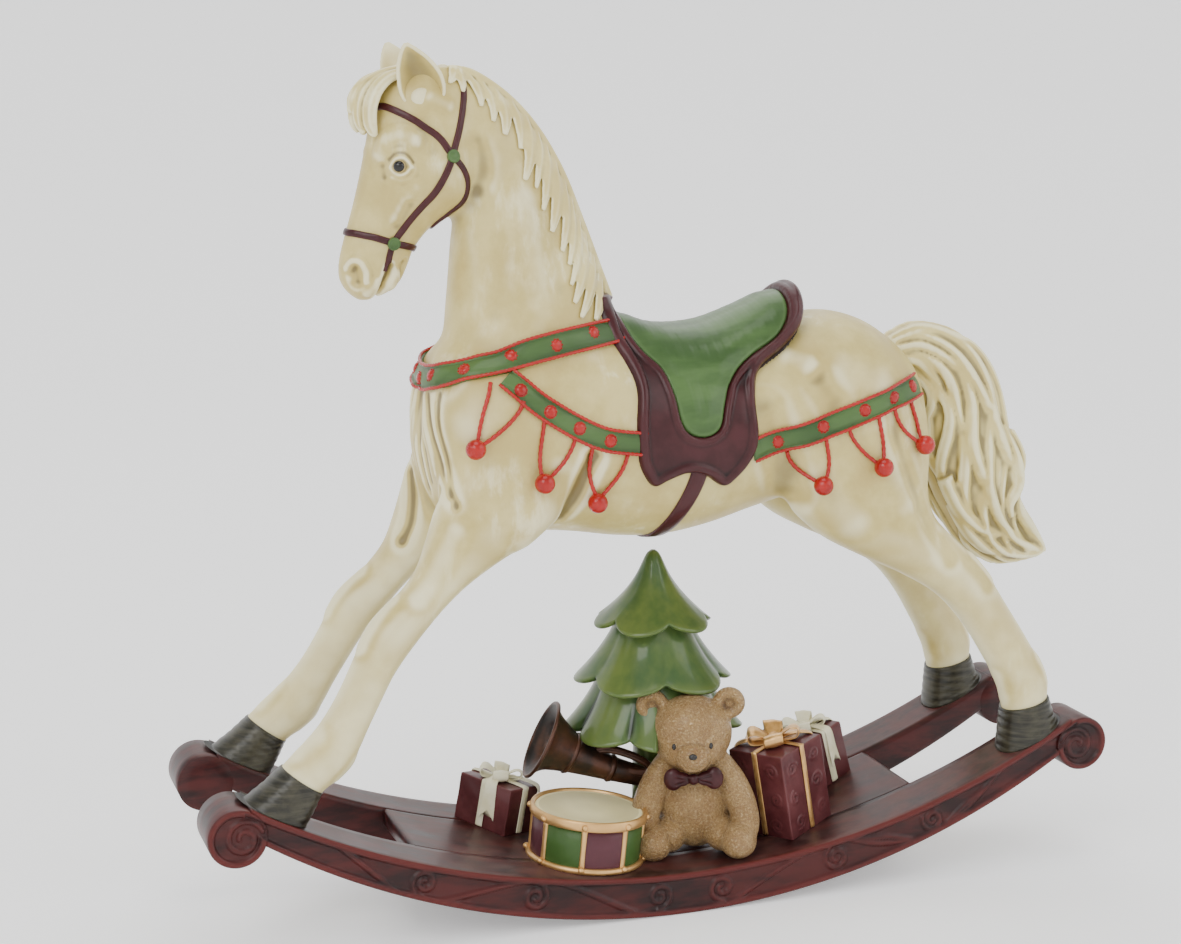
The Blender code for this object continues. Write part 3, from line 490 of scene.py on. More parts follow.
def carvedLines():
    lines = []
    for rib in base["ribs"]:
        path = dense(rib, 8)
        x = path[:, 0] * mm
        lines.append(np.stack([x, lowAt(x) + path[:, 1] * (topAt(x) - lowAt(x))], 1))
    for x, height, radius, start, turns in base["curls"]:
        x *= mm
        centre = (x, lowAt(x) + height * (topAt(x) - lowAt(x)))
        lines.append(curl(centre, radius * mm, start, turns))
    for side in (-1, 1):
        centre = (side * (base["halfSpan"] - 0.0032), base["scrollHeight"] - 0.0004)
        start, turns = (20, 1.45) if side < 0 else (160, -1.45)
        lines.append(curl(centre, 0.0098, start, turns, 0.2, 60))
    return lines


def carvedHeight(x, z):  # how far the outer face stands from the runner's side, in metres
    slope = np.abs(x) / topArc
    band = np.minimum(z - lowAt(x), topAt(x) - z) * np.cos(np.arcsin(np.clip(slope, 0, 1)))
    end = np.sign(x) * base["halfSpan"]
    disc = base["scroll"] - np.hypot(x - end, z - base["scrollHeight"])
    inside = np.where(np.abs(x) < base["halfSpan"] - 0.004, np.maximum(band, disc), disc)
    lip = np.clip((inside - base["border"]) / 0.0011, 0, 1)
    height = -base["sunk"] * lip * lip * (3 - 2 * lip)
    crown = np.clip(1 - np.abs(inside - base["border"] * 0.5) / (base["border"] * 0.6), 0, 1)
    height += 0.0004 * crown
    spots = np.stack([x, z], 1)
    rib = np.zeros(len(x))
    for line in carvedLines():
        gap, along = pathDistance(spots, line)
        width = 0.00125 + 0.0005 * np.sin(along * math.pi)
        fall = np.clip(1 - (gap / width) ** 2, 0, 1)
        rib = np.maximum(rib, np.sqrt(fall))
    return height + rib * 0.0014 * lip


def runnerShape(side):
    reach = base["halfSpan"] - 0.48 * base["scroll"]
    stations, across = 760, 34
    x = np.linspace(-reach, reach, stations)
    up = np.linspace(0, 1, across)
    spanX = np.repeat(x, across)
    spanZ = (lowAt(x)[:, None] + up[None, :] * (topAt(x) - lowAt(x))[:, None]).ravel()
    outer = carvedHeight(spanX, spanZ)
    inDisc = np.hypot(np.abs(spanX) - base["halfSpan"], spanZ - base["scrollHeight"]) < base["scroll"] * 0.98
    outer[inDisc] -= 0.002
    half = base["width"] / 2
    chamfer = 0.0007
    rings = []
    for k in range(stations):
        low, top = lowAt(x[k]), topAt(x[k])
        face = outer[k * across:(k + 1) * across]
        ring = [(x[k], -(half + f), low + u * (top - low)) for u, f in zip(up[1:-1], face[1:-1])]
        ring += [(x[k], -(half - 0.3 * chamfer), top - 0.3 * chamfer), (x[k], -(half - chamfer), top)]
        ring += [(x[k], y, top) for y in np.linspace(-half + 0.004, half, 7)]
        ring += [(x[k], half, top - u) for u in np.linspace(0.003, top - low - chamfer, 6)]
        ring += [(x[k], half - chamfer, low)]
        ring += [(x[k], y, low) for y in np.linspace(half - 0.004, -half + 0.004, 5)]
        ring += [(x[k], -(half - chamfer), low), (x[k], -(half - 0.3 * chamfer), low + 0.3 * chamfer)]
        rings.append(ring)
    parts = [skinRings(np.array(rings))]
    for end in (-1, 1):
        parts.append(scrollShape(end * base["halfSpan"], half))
    points, faces = merge(parts)
    points[:, 1] = points[:, 1] * -side + side * base["stance"]
    return points, faces


def scrollShape(centreX, half):
    around, rounds = 120, 26
    radius = base["scroll"]
    angle = 2 * math.pi * np.arange(around) / around
    rings = []
    for r in np.linspace(0.0002, radius - 0.0007, rounds):
        x = centreX + r * np.cos(angle)
        z = base["scrollHeight"] + r * np.sin(angle)
        rings.append(np.stack([x, -(half + 0.0004 + carvedHeight(x, z)), z], 1))
    for r, y in ((radius - 0.0002, -half), (radius, -half + 0.0006), (radius, -half * 0.4),
                 (radius, half * 0.4),
                 (radius, half - 0.0004), (radius - 0.0005, half), (radius * 0.5, half + 0.0002),
                 (0.0002, half + 0.0002)):
        rings.append(np.stack([centreX + r * np.cos(angle), np.full(around, y),
                               base["scrollHeight"] + r * np.sin(angle)], 1))
    return skinRings(np.array(rings))


def deckShape():
    inner = base["stance"] - base["width"] / 2 + 0.0004
    x = np.linspace(deckLow.x, deckHigh.x, 180)
    rings = []
    for k, here in enumerate(x):
        top = topAt(here)
        drop = 0.0006 if k in (0, len(x) - 1) else 0.0
        ring = [(here, y, top - drop) for y in np.linspace(-inner, inner, 40)]
        ring += [(here, y, top - 0.009) for y in np.linspace(inner, -inner, 8)]
        rings.append(ring)
    return skinRings(np.array(rings))


def runnerRelief(points, side):  # the paints read this: low in the sunk panel, high on edges and ribs
    x, z = points[:, 0], points[:, 2]
    out = points[:, 1] * side - base["stance"]
    half = base["width"] / 2
    onFace = out > half - base["sunk"] - 0.0016
    height = carvedHeight(x, z)
    face = 0.42 + np.clip((height + base["sunk"]) / 0.0014, 0, 1) * 0.22 + np.clip(height / 0.0004, 0,
            1) * 0.12
    disc = np.hypot(np.abs(x) - base["halfSpan"], z - base["scrollHeight"]) < base["scroll"] + 0.0005
    onTop = (np.abs(z - topAt(x)) < 0.0008) & ~disc
    edge = 0.5 + 0.32 * np.clip(1 - (half - out) / 0.0022, 0, 1)
    relief = np.where(onFace, face, 0.5)
    relief = np.where(onTop, edge, relief)
    return relief


# the first colour also serves as the painted shade in the hollows
mahogany = rubbedPaint("mahogany paint", (0.016, 0.004, 0.004), (0.060, 0.009, 0.008), (0.085, 0.010, 0.008),
                       0.36, 0.5)
for side, word in twoSides():
    runner = addMesh("runner" + word.title(), *runnerShape(side))
    setRelief(runner, runnerRelief(pointsOf(runner), side))
    show(runner, mahogany, "base", "runner_" + word)
deckBoard = addMesh("deckBoard", *deckShape())
setRelief(deckBoard, np.full(len(deckBoard.data.vertices), 0.5))
show(deckBoard, mahogany, "base", "deck")
print("base carved")


# horse casting: section tables, upper or front point (x, z), lower or rear point (x, z), half width, y

horse = {
    "torso": [
        (-126, 264, -126, 246, 10, 0), (-122, 285, -122, 228, 29, 0), (-113, 300, -114, 212, 42, 0),
        (-97, 307, -98, 205, 48, 0), (-72, 309, -72, 201, 50, 0), (-45, 310, -45, 198, 49, 0),
        (-22, 306, -20, 194, 48, 0), (5, 298, 5, 193, 47, 0), (30, 296, 30, 197, 46, 0),
        (55, 300, 55, 204, 45.5, 0), (80, 307, 80, 210, 46.5, 0), (100, 309, 100, 212, 48, 0),
        (120, 304, 120, 212, 47, 0), (137, 293, 137, 214, 41, 0), (149, 280, 148, 222, 30, 0),
        (156, 262, 156, 240, 12, 0)],
    "neck": [
        (-110, 412, -98, 434, 13, 0), (-106, 392, -80, 423, 17, 0), (-105, 370, -65, 407, 20, 0),
        (-107, 348, -52, 385, 23, 0), (-109, 325, -42, 361, 26, 0), (-111, 305, -33, 338, 30, 0),
        (-114, 285, -24, 314, 35, 0), (-112, 262, -8, 300, 39, 0), (-95, 245, 5, 282, 37, 0)],
    "head": [
        (-128, 439, -104, 440, 9, 0), (-140, 430, -93, 426, 17, 0), (-147, 416, -88, 406, 21, 0),
        (-150, 402, -87, 391, 22.5, 0), (-153, 388, -91, 377, 21.5, 0), (-156.5, 374, -102, 368, 18, 0),
        (-160, 362, -116, 361, 14.5, 0), (-163, 352, -126, 350, 12.5, 0), (-165, 343, -130, 341, 12.5, 0),
        (-165, 335, -134, 333, 12.5, 0), (-161, 328, -140, 328, 10.5, 0), (-155, 323.5, -147, 325, 5, 0)],
    "frontLeg": [
        (-108, 262, -50, 238, 18, 28), (-121, 241, -56, 216, 20, 31), (-126, 221, -74, 203, 19, 33),
        (-131, 204, -92, 193, 17, 33.5), (-137, 189, -108, 183, 14.5, 34), (-147, 177, -121, 172, 13, 34.5),
        (-161, 164, -135, 157, 12.5, 35.5), (-170, 148, -148, 141, 10.5, 37), (-177, 135, -156, 128, 10, 39),
        (-184, 124, -163, 116, 10.5, 41), (-194, 112, -174, 97, 11.5, 43.5),
        (-208.7, 98.9, -189.2, 84.4, 12, 45.3),
        (-214, 94, -193, 79.5, 11, 45.3)],
    "rearLeg": [
        (64, 264, 150, 262, 17, 26), (60, 238, 151, 238, 20, 30), (66, 213, 149, 215, 20, 32),
        (84, 194, 152, 200, 19, 34), (108, 180.5, 161, 189, 16.5, 36), (132, 169, 173, 177, 13.5, 38),
        (153, 156, 184, 164, 11.5, 40), (168, 139.5, 195, 147, 10, 42), (181, 119, 208, 126, 10, 44),
        (190, 103, 217.5, 108, 11, 45), (193.5, 89.5, 219.5, 96, 11.5, 45.3),
        (194.5, 83, 219, 90, 10.5, 45.3)],
    "voxel": 1.15,
    "blendReach": 11.0,
    "blendRounds": 90,
}
hoofTables = {
    "front": [
        (-209, 98.5, -189.5, 84, 12.4, 45.3), (-210.5, 97.6, -190.2, 83.4, 13.2, 45.3),
        (-219, 90.5, -194, 75.5, 14.2, 45.3),
        (-228.5, 83.5, -198.5, 67.5, 15, 45.3), (-233, 76, -201, 61, 15, 45.3)],
    "rear": [
        (193.5, 89, 219.5, 95.5, 12.2, 45.3), (193.2, 87.6, 220, 94.3, 13.2, 45.3),
        (192.5, 77, 223, 86, 14.2, 45.3),
        (191.8, 65.3, 226.5, 80.3, 15, 45.3), (192, 57, 227, 72, 15, 45.3)],
}
legSpread = base["stance"] / (45.35 * mm)  # the tables' legs stand 45.35 mm out


def loft(table, around=72, side=1, steps=10, squareness=2.0):
    rows = dense(table, steps)
    angle = 2 * math.pi * np.arange(around) / around
    bulge = np.sign(np.cos(angle)) * np.abs(np.cos(angle)) ** (2 / squareness)
    flank = np.sign(np.sin(angle)) * np.abs(np.sin(angle)) ** (2 / squareness)
    blend = (1 + bulge) / 2
    x = rows[:, 2:3] + (rows[:, 0:1] - rows[:, 2:3]) * blend
    z = rows[:, 3:4] + (rows[:, 1:2] - rows[:, 3:4]) * blend
    y = side * rows[:, 5:6] * legSpread + rows[:, 4:5] * flank
    return np.stack([x, np.broadcast_to(y, x.shape), z], 2) * mm


def castHorse():
    forms = {"torso": loft(horse["torso"]), "neck": loft(horse["neck"]), "head": loft(horse["head"])}
    for side, word in twoSides():
        forms["leg_front_" + word] = loft(horse["frontLeg"], side=side)
        forms["leg_rear_" + word] = loft(horse["rearLeg"], side=side)
    parts = {name: skinRings(rings) for name, rings in forms.items()}
    casting = fused("casting", list(parts.values()), horse["voxel"])
    points = pointsOf(casting)
    edges = edgesOf(casting)
    gaps = np.empty((len(points), len(parts)))
    for k, (some, faces) in enumerate(parts.values()):
        form = treeOf(some, faces)
        reach = 0.03
        low, high = some.min(0) - reach, some.max(0) + reach
        near = ((points > low) & (points < high)).all(1)
        gaps[:, k] = reach
        for i in np.nonzero(near)[0]:
            found = form.find_nearest(points[i], reach)
            if found[3] is not None:
                gaps[i, k] = found[3]
    owner = gaps.argmin(1)
    second = np.partition(gaps, 1, axis=1)[:, 1]
    soft = np.clip(1 - second / (horse["blendReach"] * mm), 0, 1)
    soft = relaxed(soft[:, None], edges, 12)[:, 0]
    points = relaxed(points, edges, horse["blendRounds"], soft * 0.6)
    points = relaxed(points, edges, 4, 0.5)
    setPoints(casting, points)
    return casting, owner, list(parts)


casting, castOwner, castNames = castHorse()
print("horse cast", len(castOwner), "points")


# carving: each stroke is a path of (x, y, z), the width of the tool and how far it raises the surface

bodyStrokes = [
    ([(-127, 0, 277), (-128, 0, 254), (-124, 0, 226)], 7, -2.4),
    ([(-126, -4, 275), (-127, -6, 257), (-126, -11, 246), (-124, -11, 230)], 3.4, -1.2),
    ([(-125, -12, 276), (-126, -18, 264), (-125, -25, 252), (-123, -31, 239), (-121, -40, 229)], 3.4, -1.3),
    ([(-122, -24, 278), (-124, -26, 266), (-124, -31, 253), (-121, -38, 237), (-118, -44, 224)], 3.8, -1.5),
    ([(-125, -8, 276), (-126, -13, 262), (-125, -19, 250), (-123, -22, 236)], 2.6, 0.9),
    ([(-123, -19, 277), (-125, -24, 262), (-124, -30, 248), (-121, -37, 235)], 2.6, 0.9),
    ([(-122, -30, 228), (-124, -24, 216), (-127, -20, 204), (-130, -22, 194)], 6, -3.0),
    ([(-47, -47, 245), (-51, -46, 234), (-54, -42, 223), (-60, -32, 211)], 7, -3.2),
    ([(-66, -49, 240), (-71, -46, 224), (-84, -40, 208)], 13, 1.6),
    ([(-74, -40, 301), (-88, -45, 286), (-106, -42, 264)], 17, 1.4),
    ([(-112, -30, 300), (-118, -28, 286)], 10, -1.2),
    ([(-97, -18, 372), (-92, -23, 345), (-93, -27, 318)], 11, -1.3),
    ([(-62, -24, 388), (-58, -27, 360), (-56, -31, 332)], 11, -1.0),
    ([(-75, -26, 372), (-72, -30, 345), (-70, -34, 318)], 14, 1.2),
    ([(66, -33, 289), (75, -38, 286)], 11, 1.8),
    ([(80, -44, 276), (86, -47, 266)], 12, -1.7),
    ([(49, -45, 264), (56, -46, 242), (64, -40, 218)], 15, -3.0),
    ([(94, -46, 284), (112, -47, 276)], 16, 1.5),
    ([(121, -47, 262), (124, -48, 244), (131, -49, 226), (138, -48, 211), (146, -50, 194), (156, -52, 178)],
     8, -1.1),
    ([(113, -49, 250), (118, -51, 230), (127, -51, 210)], 12, 1.3),
    ([(78, -46, 240), (84, -50, 222), (98, -48, 204)], 15, 1.6),
    ([(-150, -34, 175), (-159, -36, 162), (-164, -37, 154)], 8, 1.4),
    ([(-176, -44, 98), (-182, -45, 92)], 9, 1.3),
    ([(-198, -45, 102), (-190, -45, 110)], 9, 0.8),
    ([(-120, -48, 212), (-130, -46, 192), (-138, -44, 178)], 8, 0.9),
    ([(176, -39, 177), (186, -40, 165)], 7, 1.6),
    ([(156, -50, 190), (169, -50, 176), (180, -50, 162)], 8, -0.8),
    ([(156, -28, 190), (169, -29, 176), (180, -30, 162)], 8, -0.8),
    ([(213, -45, 116), (219, -45, 104)], 9, 1.3),
    ([(190, -45, 96), (188, -45, 108)], 8, 0.8),
]
headStrokes = [
    ([(-137.8, -19.3, 391.4)], 4.8, -1.7),
    ([(-146, -12, 397), (-143, -14, 404), (-137, -17, 407), (-130.6, -20, 404)], 6.5, 2.4),
    ([(-142, -14, 404), (-137, -17, 405.5)], 5, 1.0),
    ([(-142.3, -15, 394.6), (-138.5, -17, 397.8), (-134.4, -19.6, 397.2), (-131.6, -20.6, 393.3)], 1.8, -0.7),
    ([(-141.6, -16, 390.9), (-139.6, -17, 394.2), (-136.9, -18.8, 395.4), (-134.2, -20, 394.2),
      (-132.0, -21, 391)], 1.35, 1.3),
    ([(-141.4, -16, 390.2), (-140, -16.6, 388.3), (-137.5, -18.6, 387.1), (-134.8, -20.2, 388.2),
      (-132.4, -21, 391)], 1.3, 0.9),
    ([(-140.6, -15.6, 386), (-136.5, -18.6, 384.4), (-132.4, -20.8, 386), (-130.4, -21.3, 390.3)], 2.0, 0.5),
    ([(-145.6, -13.6, 391), (-145, -14, 386)], 3.2, -1.0),
    ([(-124, -20, 409), (-121, -21, 399)], 8, -1.8),
    ([(-130, -20.6, 381), (-135.8, -18, 374.7), (-140, -15.5, 366)], 6.0, 1.1),
    ([(-146, -13, 385), (-150, -11, 371), (-153, -10, 359)], 7, -1.3),
    ([(-133, -17, 372), (-138, -14, 362)], 5, -1.0),
    ([(-114, -20, 388), (-113, -19, 380)], 16, 2.2),
    ([(-98.6, -17, 402), (-95.7, -17.6, 394), (-95.4, -17.6, 387), (-98, -16.7, 380)], 8, -1.3),
    ([(-163.4, -7, 341), (-160.6, -9, 344.6), (-156.6, -11, 344), (-154, -12, 339.6), (-153.8, -12, 334.5)],
     3.0, 1.1),
    ([(-160.2, -9.4, 339.6), (-159.2, -10, 336.6), (-158.8, -10, 334)], 5.0, -2.9),
    ([(-148, -1, 324.5), (-147.4, -6, 326.4), (-146.2, -9.6, 330), (-144.6, -11.2, 334), (-142.8, -11.6, 338),
      (-141.6, -11.4, 341.5)], 2.5, -3.4),
    ([(-140.4, -9, 332), (-139, -9.4, 337)], 5.5, 1.8),
    ([(-133, -8, 342), (-134, -8, 338)], 4, -1.6),
    ([(-153, -9, 329), (-149, -11.5, 334)], 4, 0.9),
    ([(-121, -17, 424), (-113, -17, 420)], 6, 1.5),
]


def refineHead(owner):  # the head's faces are split once, for the finer carving
    form = bmesh.new()
    form.from_mesh(casting.data)
    form.verts.ensure_lookup_table()
    head = castNames.index("head")
    edges = [e for e in form.edges if owner[e.verts[0].index] == head and owner[e.verts[1].index] == head]
    bmesh.ops.subdivide_edges(form, edges=edges, cuts=1, use_grid_fill=True)
    form.to_mesh(casting.data)
    form.free()
    casting.data.shade_smooth()


def carveHorse():
    before = pointsOf(casting)
    owner = castOwner
    refineHead(owner)
    points = pointsOf(casting)
    fresh = np.arange(len(points)) >= len(before)
    owner = np.concatenate([owner, np.full(len(points) - len(before), castNames.index("head"))])
    inHead = (owner == castNames.index("head")).astype(float)
    points = relaxed(points, edgesOf(casting), 5, 0.5 * relaxed(inHead[:, None], edgesOf(casting), 3)[:, 0])
    setPoints(casting, points)
    coat = treeOf(points, facesOf(casting))
    for strokes in (bodyStrokes, headStrokes):
        normals = normalsOf(casting)
        for path, width, depth in strokes:
            for side in (1, -1):
                guide = [coat.find_nearest(Vector((x, side * y, z)) * mm)[0] / mm for x, y, z in path]
                guide = guide * 2 if len(guide) == 1 else guide
                tool(points, normals, dense([tuple(p) for p in guide], 4), width, depth)
                if all(y == 0 for _, y, _ in path):
                    break
        points = relaxed(points, edgesOf(casting), 2, 0.45 if strokes is bodyStrokes else 0.3)
        setPoints(casting, points)
    return owner


castOwner = carveHorse()
markRelief(casting, 16, 0.42)
castTree = treeOf(pointsOf(casting), facesOf(casting))
# the third colour is painted shade for the hollows, the fourth is rubbed wear and painted highlight on the
# ridges
creamCoat = coatPaint("cream coat", (0.50, 0.39, 0.125), (0.62, 0.515, 0.20), (0.14, 0.10, 0.032),
                      (0.88, 0.83, 0.54))


def splitCasting():  # one piece for each part of the horse, with the whole casting's shading
    points, normals = pointsOf(casting), normalsOf(casting)
    relief = np.empty(len(points), np.float32)
    casting.data.attributes["relief"].data.foreach_get("value", relief)
    faces = facesOf(casting)
    group = castOwner[[face[0] for face in faces]]
    for k, name in enumerate(castNames):
        mine = [face for face, g in zip(faces, group) if g == k]
        piece, used = someOf("horse_" + name, points, mine)
        setRelief(piece, relief[used])
        piece.data.normals_split_custom_set_from_vertices([tuple(n) for n in normals[used]])
        show(piece, creamCoat, "coat", name)
    bpy.data.objects.remove(casting, do_unlink=True)


def onCoat(point):  # nearest place on the casting and its outward direction, in metres
    place, normal, _, _ = castTree.find_nearest(Vector(point))
    return place, normal


eyes = {"place": (-138.0, -19.0, 391.3), "radius": 3.4, "sunk": 2.5, "pupil": 3.1}


def makeEyes():
    paint = Paint("eye", Coat_Weight=0.3, Coat_Roughness=0.05, Specular_IOR_Level=0.3)
    tone = paint.mix(paint.clamp(paint.noise(500, 2), 0.4, 0.7), (0.003, 0.003, 0.003), (0.009, 0.007, 0.005))
    tone = paint.mix(paint.clamp(paint.relief(), 0.35, 0.65), (0.42, 0.33, 0.15), tone)
    black = paint.finish(Base_Color=tone, Roughness=paint.noise(300, 2) * 0.1 + 0.05)
    for side, word in twoSides():
        x, y, z = eyes["place"]
        place, normal = onCoat(Vector((x, -side * y, z)) * mm)
        centre = Vector((x, -side * y, z)) * mm - normal * (eyes["sunk"] - 1.0) * mm
        form = bmesh.new()
        bmesh.ops.create_uvsphere(form, u_segments=72, v_segments=48, radius=eyes["radius"] * mm)
        mesh = bpy.data.meshes.new("eye")
        form.to_mesh(mesh)
        form.free()
        mesh.transform(Matrix.Translation(centre))
        mesh.shade_smooth()
        piece = bpy.data.objects.new("eyeball_" + word, mesh)
        bpy.context.scene.collection.objects.link(piece)
        pupil = np.array(centre + (normal + Vector((-0.16, 0, 0.02))).normalized() * eyes["radius"] * mm)
        away = np.linalg.norm(pointsOf(piece) - pupil, axis=1) / mm
        setRelief(piece, 1 - ramp(away, eyes["pupil"] - 0.15, eyes["pupil"] + 0.15))
        show(piece, black, "eye", "eye_" + word)


ear = {
    "front": [(-130, -15, 418), (-136, -15.5, 426), (-138, -17, 437), (-137, -18.5, 445.5),
              (-134.6, -19.5, 451)],
    "rear": [(-124, -16, 417), (-115, -18.5, 424), (-115.5, -20.5, 434), (-122.5, -20.5, 443.5),
             (-133.4, -19.5, 450.8)],
    "cup": [3.0, 9.5, 9.5, 5.0, 0.4],
    "wall": 2.2,
}


def makeEars():
    front, rear = dense(ear["front"], 9), dense(ear["rear"], 9)
    cup = dense([(c,) for c in ear["cup"]], 9)[:, 0]
    across = np.linspace(-1, 1, 25)
    for side, word in twoSides():
        rings = []
        for f, r, c in zip(front, rear, cup):
            row = f + (r - f) * ((across[:, None] + 1) / 2)
            bowl = 1 - np.abs(across) ** 2.4
            row = row + np.stack([bowl * c * 0.22, bowl * c * 0.95, bowl * c * 0.1], 1)
            row[:, 1] *= -side
            rings.append(row * mm)
        points, faces = skinRings(np.array(rings), closed=False, capped=False)
        piece = addMesh("horse_ear_" + word, points, faces)
        wall = piece.modifiers.new("wall", "SOLIDIFY")
        wall.thickness = ear["wall"] * mm
        wall.offset = 0
        smooth = piece.modifiers.new("round", "SUBSURF")
        smooth.levels = smooth.render_levels = 1
        applied(piece)
        fill = fused("earRoot", [(pointsOf(piece), facesOf(piece)),
                                 ballShape(Vector((-124, side * 13.5, 423)) * mm, (8 * mm, 5 * mm, 7 * mm))],
                     0.75)
        bpy.data.objects.remove(piece, do_unlink=True)
        fill.name = "horse_ear_" + word
        setPoints(fill, relaxed(pointsOf(fill), edgesOf(fill), 3, 0.5))
        markRelief(fill, 90, 1.6)
        show(fill, creamCoat, "coat", "ear_" + word)


def ballShape(centre, radii, around=24, bands=14, turn=None):
    rings = []
    for k in range(bands + 1):
        angle = math.pi * (k + (0.04 if k == 0 else -0.04 if k == bands else 0)) / bands
        spin = 2 * math.pi * np.arange(around) / around
        ring = np.stack([radii[0] * math.sin(angle) * np.cos(spin), radii[1] * math.sin(angle) * np.sin(spin),
                         np.full(around, -radii[2] * math.cos(angle))], 1)
        rings.append(ring @ np.array(turn).T if turn is not None else ring)
    return skinRings(np.array(rings) + np.array(centre))


# hair: every lock is a flat, grooved tube along a path of (x, y, z, half width, half thickness)

def lockShape(rows, outward, grooves=5, groove=0.14, around=26, steps=9):
    rows = dense(rows, steps)
    path = rows[:, :3] * mm
    rings = []
    for i, here in enumerate(path):
        along = path[min(i + 1, len(path) - 1)] - path[max(i - 1, 0)]
        along /= np.linalg.norm(along)
        out = outward(here)
        out = out - along * (out @ along)
        out /= max(np.linalg.norm(out), 1e-9)
        across = np.cross(along, out)
        angle = 2 * math.pi * np.arange(around) / around
        ripple = 1 + groove * np.cos(2 * grooves * angle) * np.clip(np.sin(angle), 0, 1)
        half, thick = max(rows[i, 3], 0.12) * mm, max(rows[i, 4], 0.12) * mm
        ring = here + np.outer(np.cos(angle) * half, across) + np.outer(np.sin(angle) * thick * ripple, out)
        rings.append(ring)
    return skinRings(np.array(rings))


def coatOutward(point):
    return np.array(onCoat(point)[1])


mane = {
    "crest": [(-110, 437), (-98, 436.5), (-80, 425.5), (-64, 409), (-50.5, 387), (-40, 362), (-31, 339),
              (-22, 316)],
    "locks": [  # along the crest 0 to 1, tip (x, y, z), half width
        (0.00, (-112, -13, 430), 3.0), (0.05, (-105, -13, 426), 3.0), (0.12, (-94.9, -14, 419.5), 3.4),
        (0.17, (-89, -16, 412), 3.2), (0.22, (-83.4, -17, 405.5), 4.0), (0.29, (-75.6, -17.5, 398.5), 3.8),
        (0.36, (-74.5, -20, 383), 4.2), (0.42, (-68.2, -20, 379), 3.2), (0.47, (-65, -21, 368), 3.8),
        (0.53, (-60.3, -21.5, 357), 4.4), (0.60, (-55.2, -21.5, 347), 3.8), (0.66, (-51.8, -22.5, 340), 3.4),
        (0.73, (-51.5, -25, 330), 3.4), (0.79, (-50.8, -27, 321), 4.0), (0.87, (-47.4, -28.5, 313.6), 3.8),
        (0.95, (-38, -26, 312), 4.2)],
    "proud": 1.5,
}


def showHair(name, parts, voxel, rounds, depth, node, paint):
    hair = fused(name, parts, voxel)
    setPoints(hair, relaxed(pointsOf(hair), edgesOf(hair), 2, 0.4))
    markRelief(hair, rounds, depth)
    show(hair, paint, "hair", node)


def makeHair():
    # the third colour is painted shade for the hollows, the fourth is rubbed wear and painted highlight on the
    # ridges
    hairPaint = coatPaint("cream hair", (0.58, 0.465, 0.165), (0.68, 0.575, 0.235), (0.16, 0.12, 0.038),
                          (0.90, 0.86, 0.56))
    crest = dense(mane["crest"], 12)
    crest = evenly(crest, 200)
    parts = []
    ridge = [(x, 0, z - 1.5, 5.5, 4.0) for x, z in crest[::8]]
    parts.append(lockShape(ridge, lambda p: np.array([0.6, 0.0, 0.8]), 3, 0.1))
    for side in (-1, 1):
        for start, tip, half in mane["locks"]:
            start = np.clip(start - 0.055 + (0 if side < 0 else 0.018), 0, 1)
            x, z = crest[int(start * (len(crest) - 1))]
            tip = Vector((tip[0], -side * tip[1], tip[2]))
            path = []
            for t in (0.0, 0.22, 0.45, 0.7, 0.88, 1.0):
                bend = math.sin(t * math.pi) * 2.6
                guess = Vector((x + (tip.x - x) * t + bend, side * (1 + (abs(tip.y) - 1) * t ** 0.55),
                                z + (tip.z - z) * t + bend * 0.4))
                place, normal = onCoat(guess * mm)
                lift = mane["proud"] * (1 - 0.25 * t)
                place = place / mm + normal * lift
                if t == 0:
                    place = Vector((x, side * 2.0, z))
                size = half * (0.95 + 0.30 * math.sin(t * math.pi)) * (1 - 0.62 * t ** 2.6)
                path.append((*place, size, 1.5 - 0.8 * t))
            parts.append(lockShape(path, coatOutward, 2, 0.30))
    showHair("maneHair", parts, 0.6, 12, 0.34, "mane", hairPaint)

    parts = []
    for side in (-1, 1):
        for rows in forelock:
            if side > 0 and rows[-1][1] == 0:
                continue
            parts.append(lockShape([(x, -side * y, z, w, t) for x, y, z, w, t in rows],
                                   lambda p: np.array([-0.75, side * 0.45, 0.45]), 3, 0.2))
    showHair("forelockHair", parts, 0.62, 12, 0.34, "forelock", hairPaint)
    showHair("tailHair", tailParts(), 0.95, 16, 0.5, "tail", hairPaint)


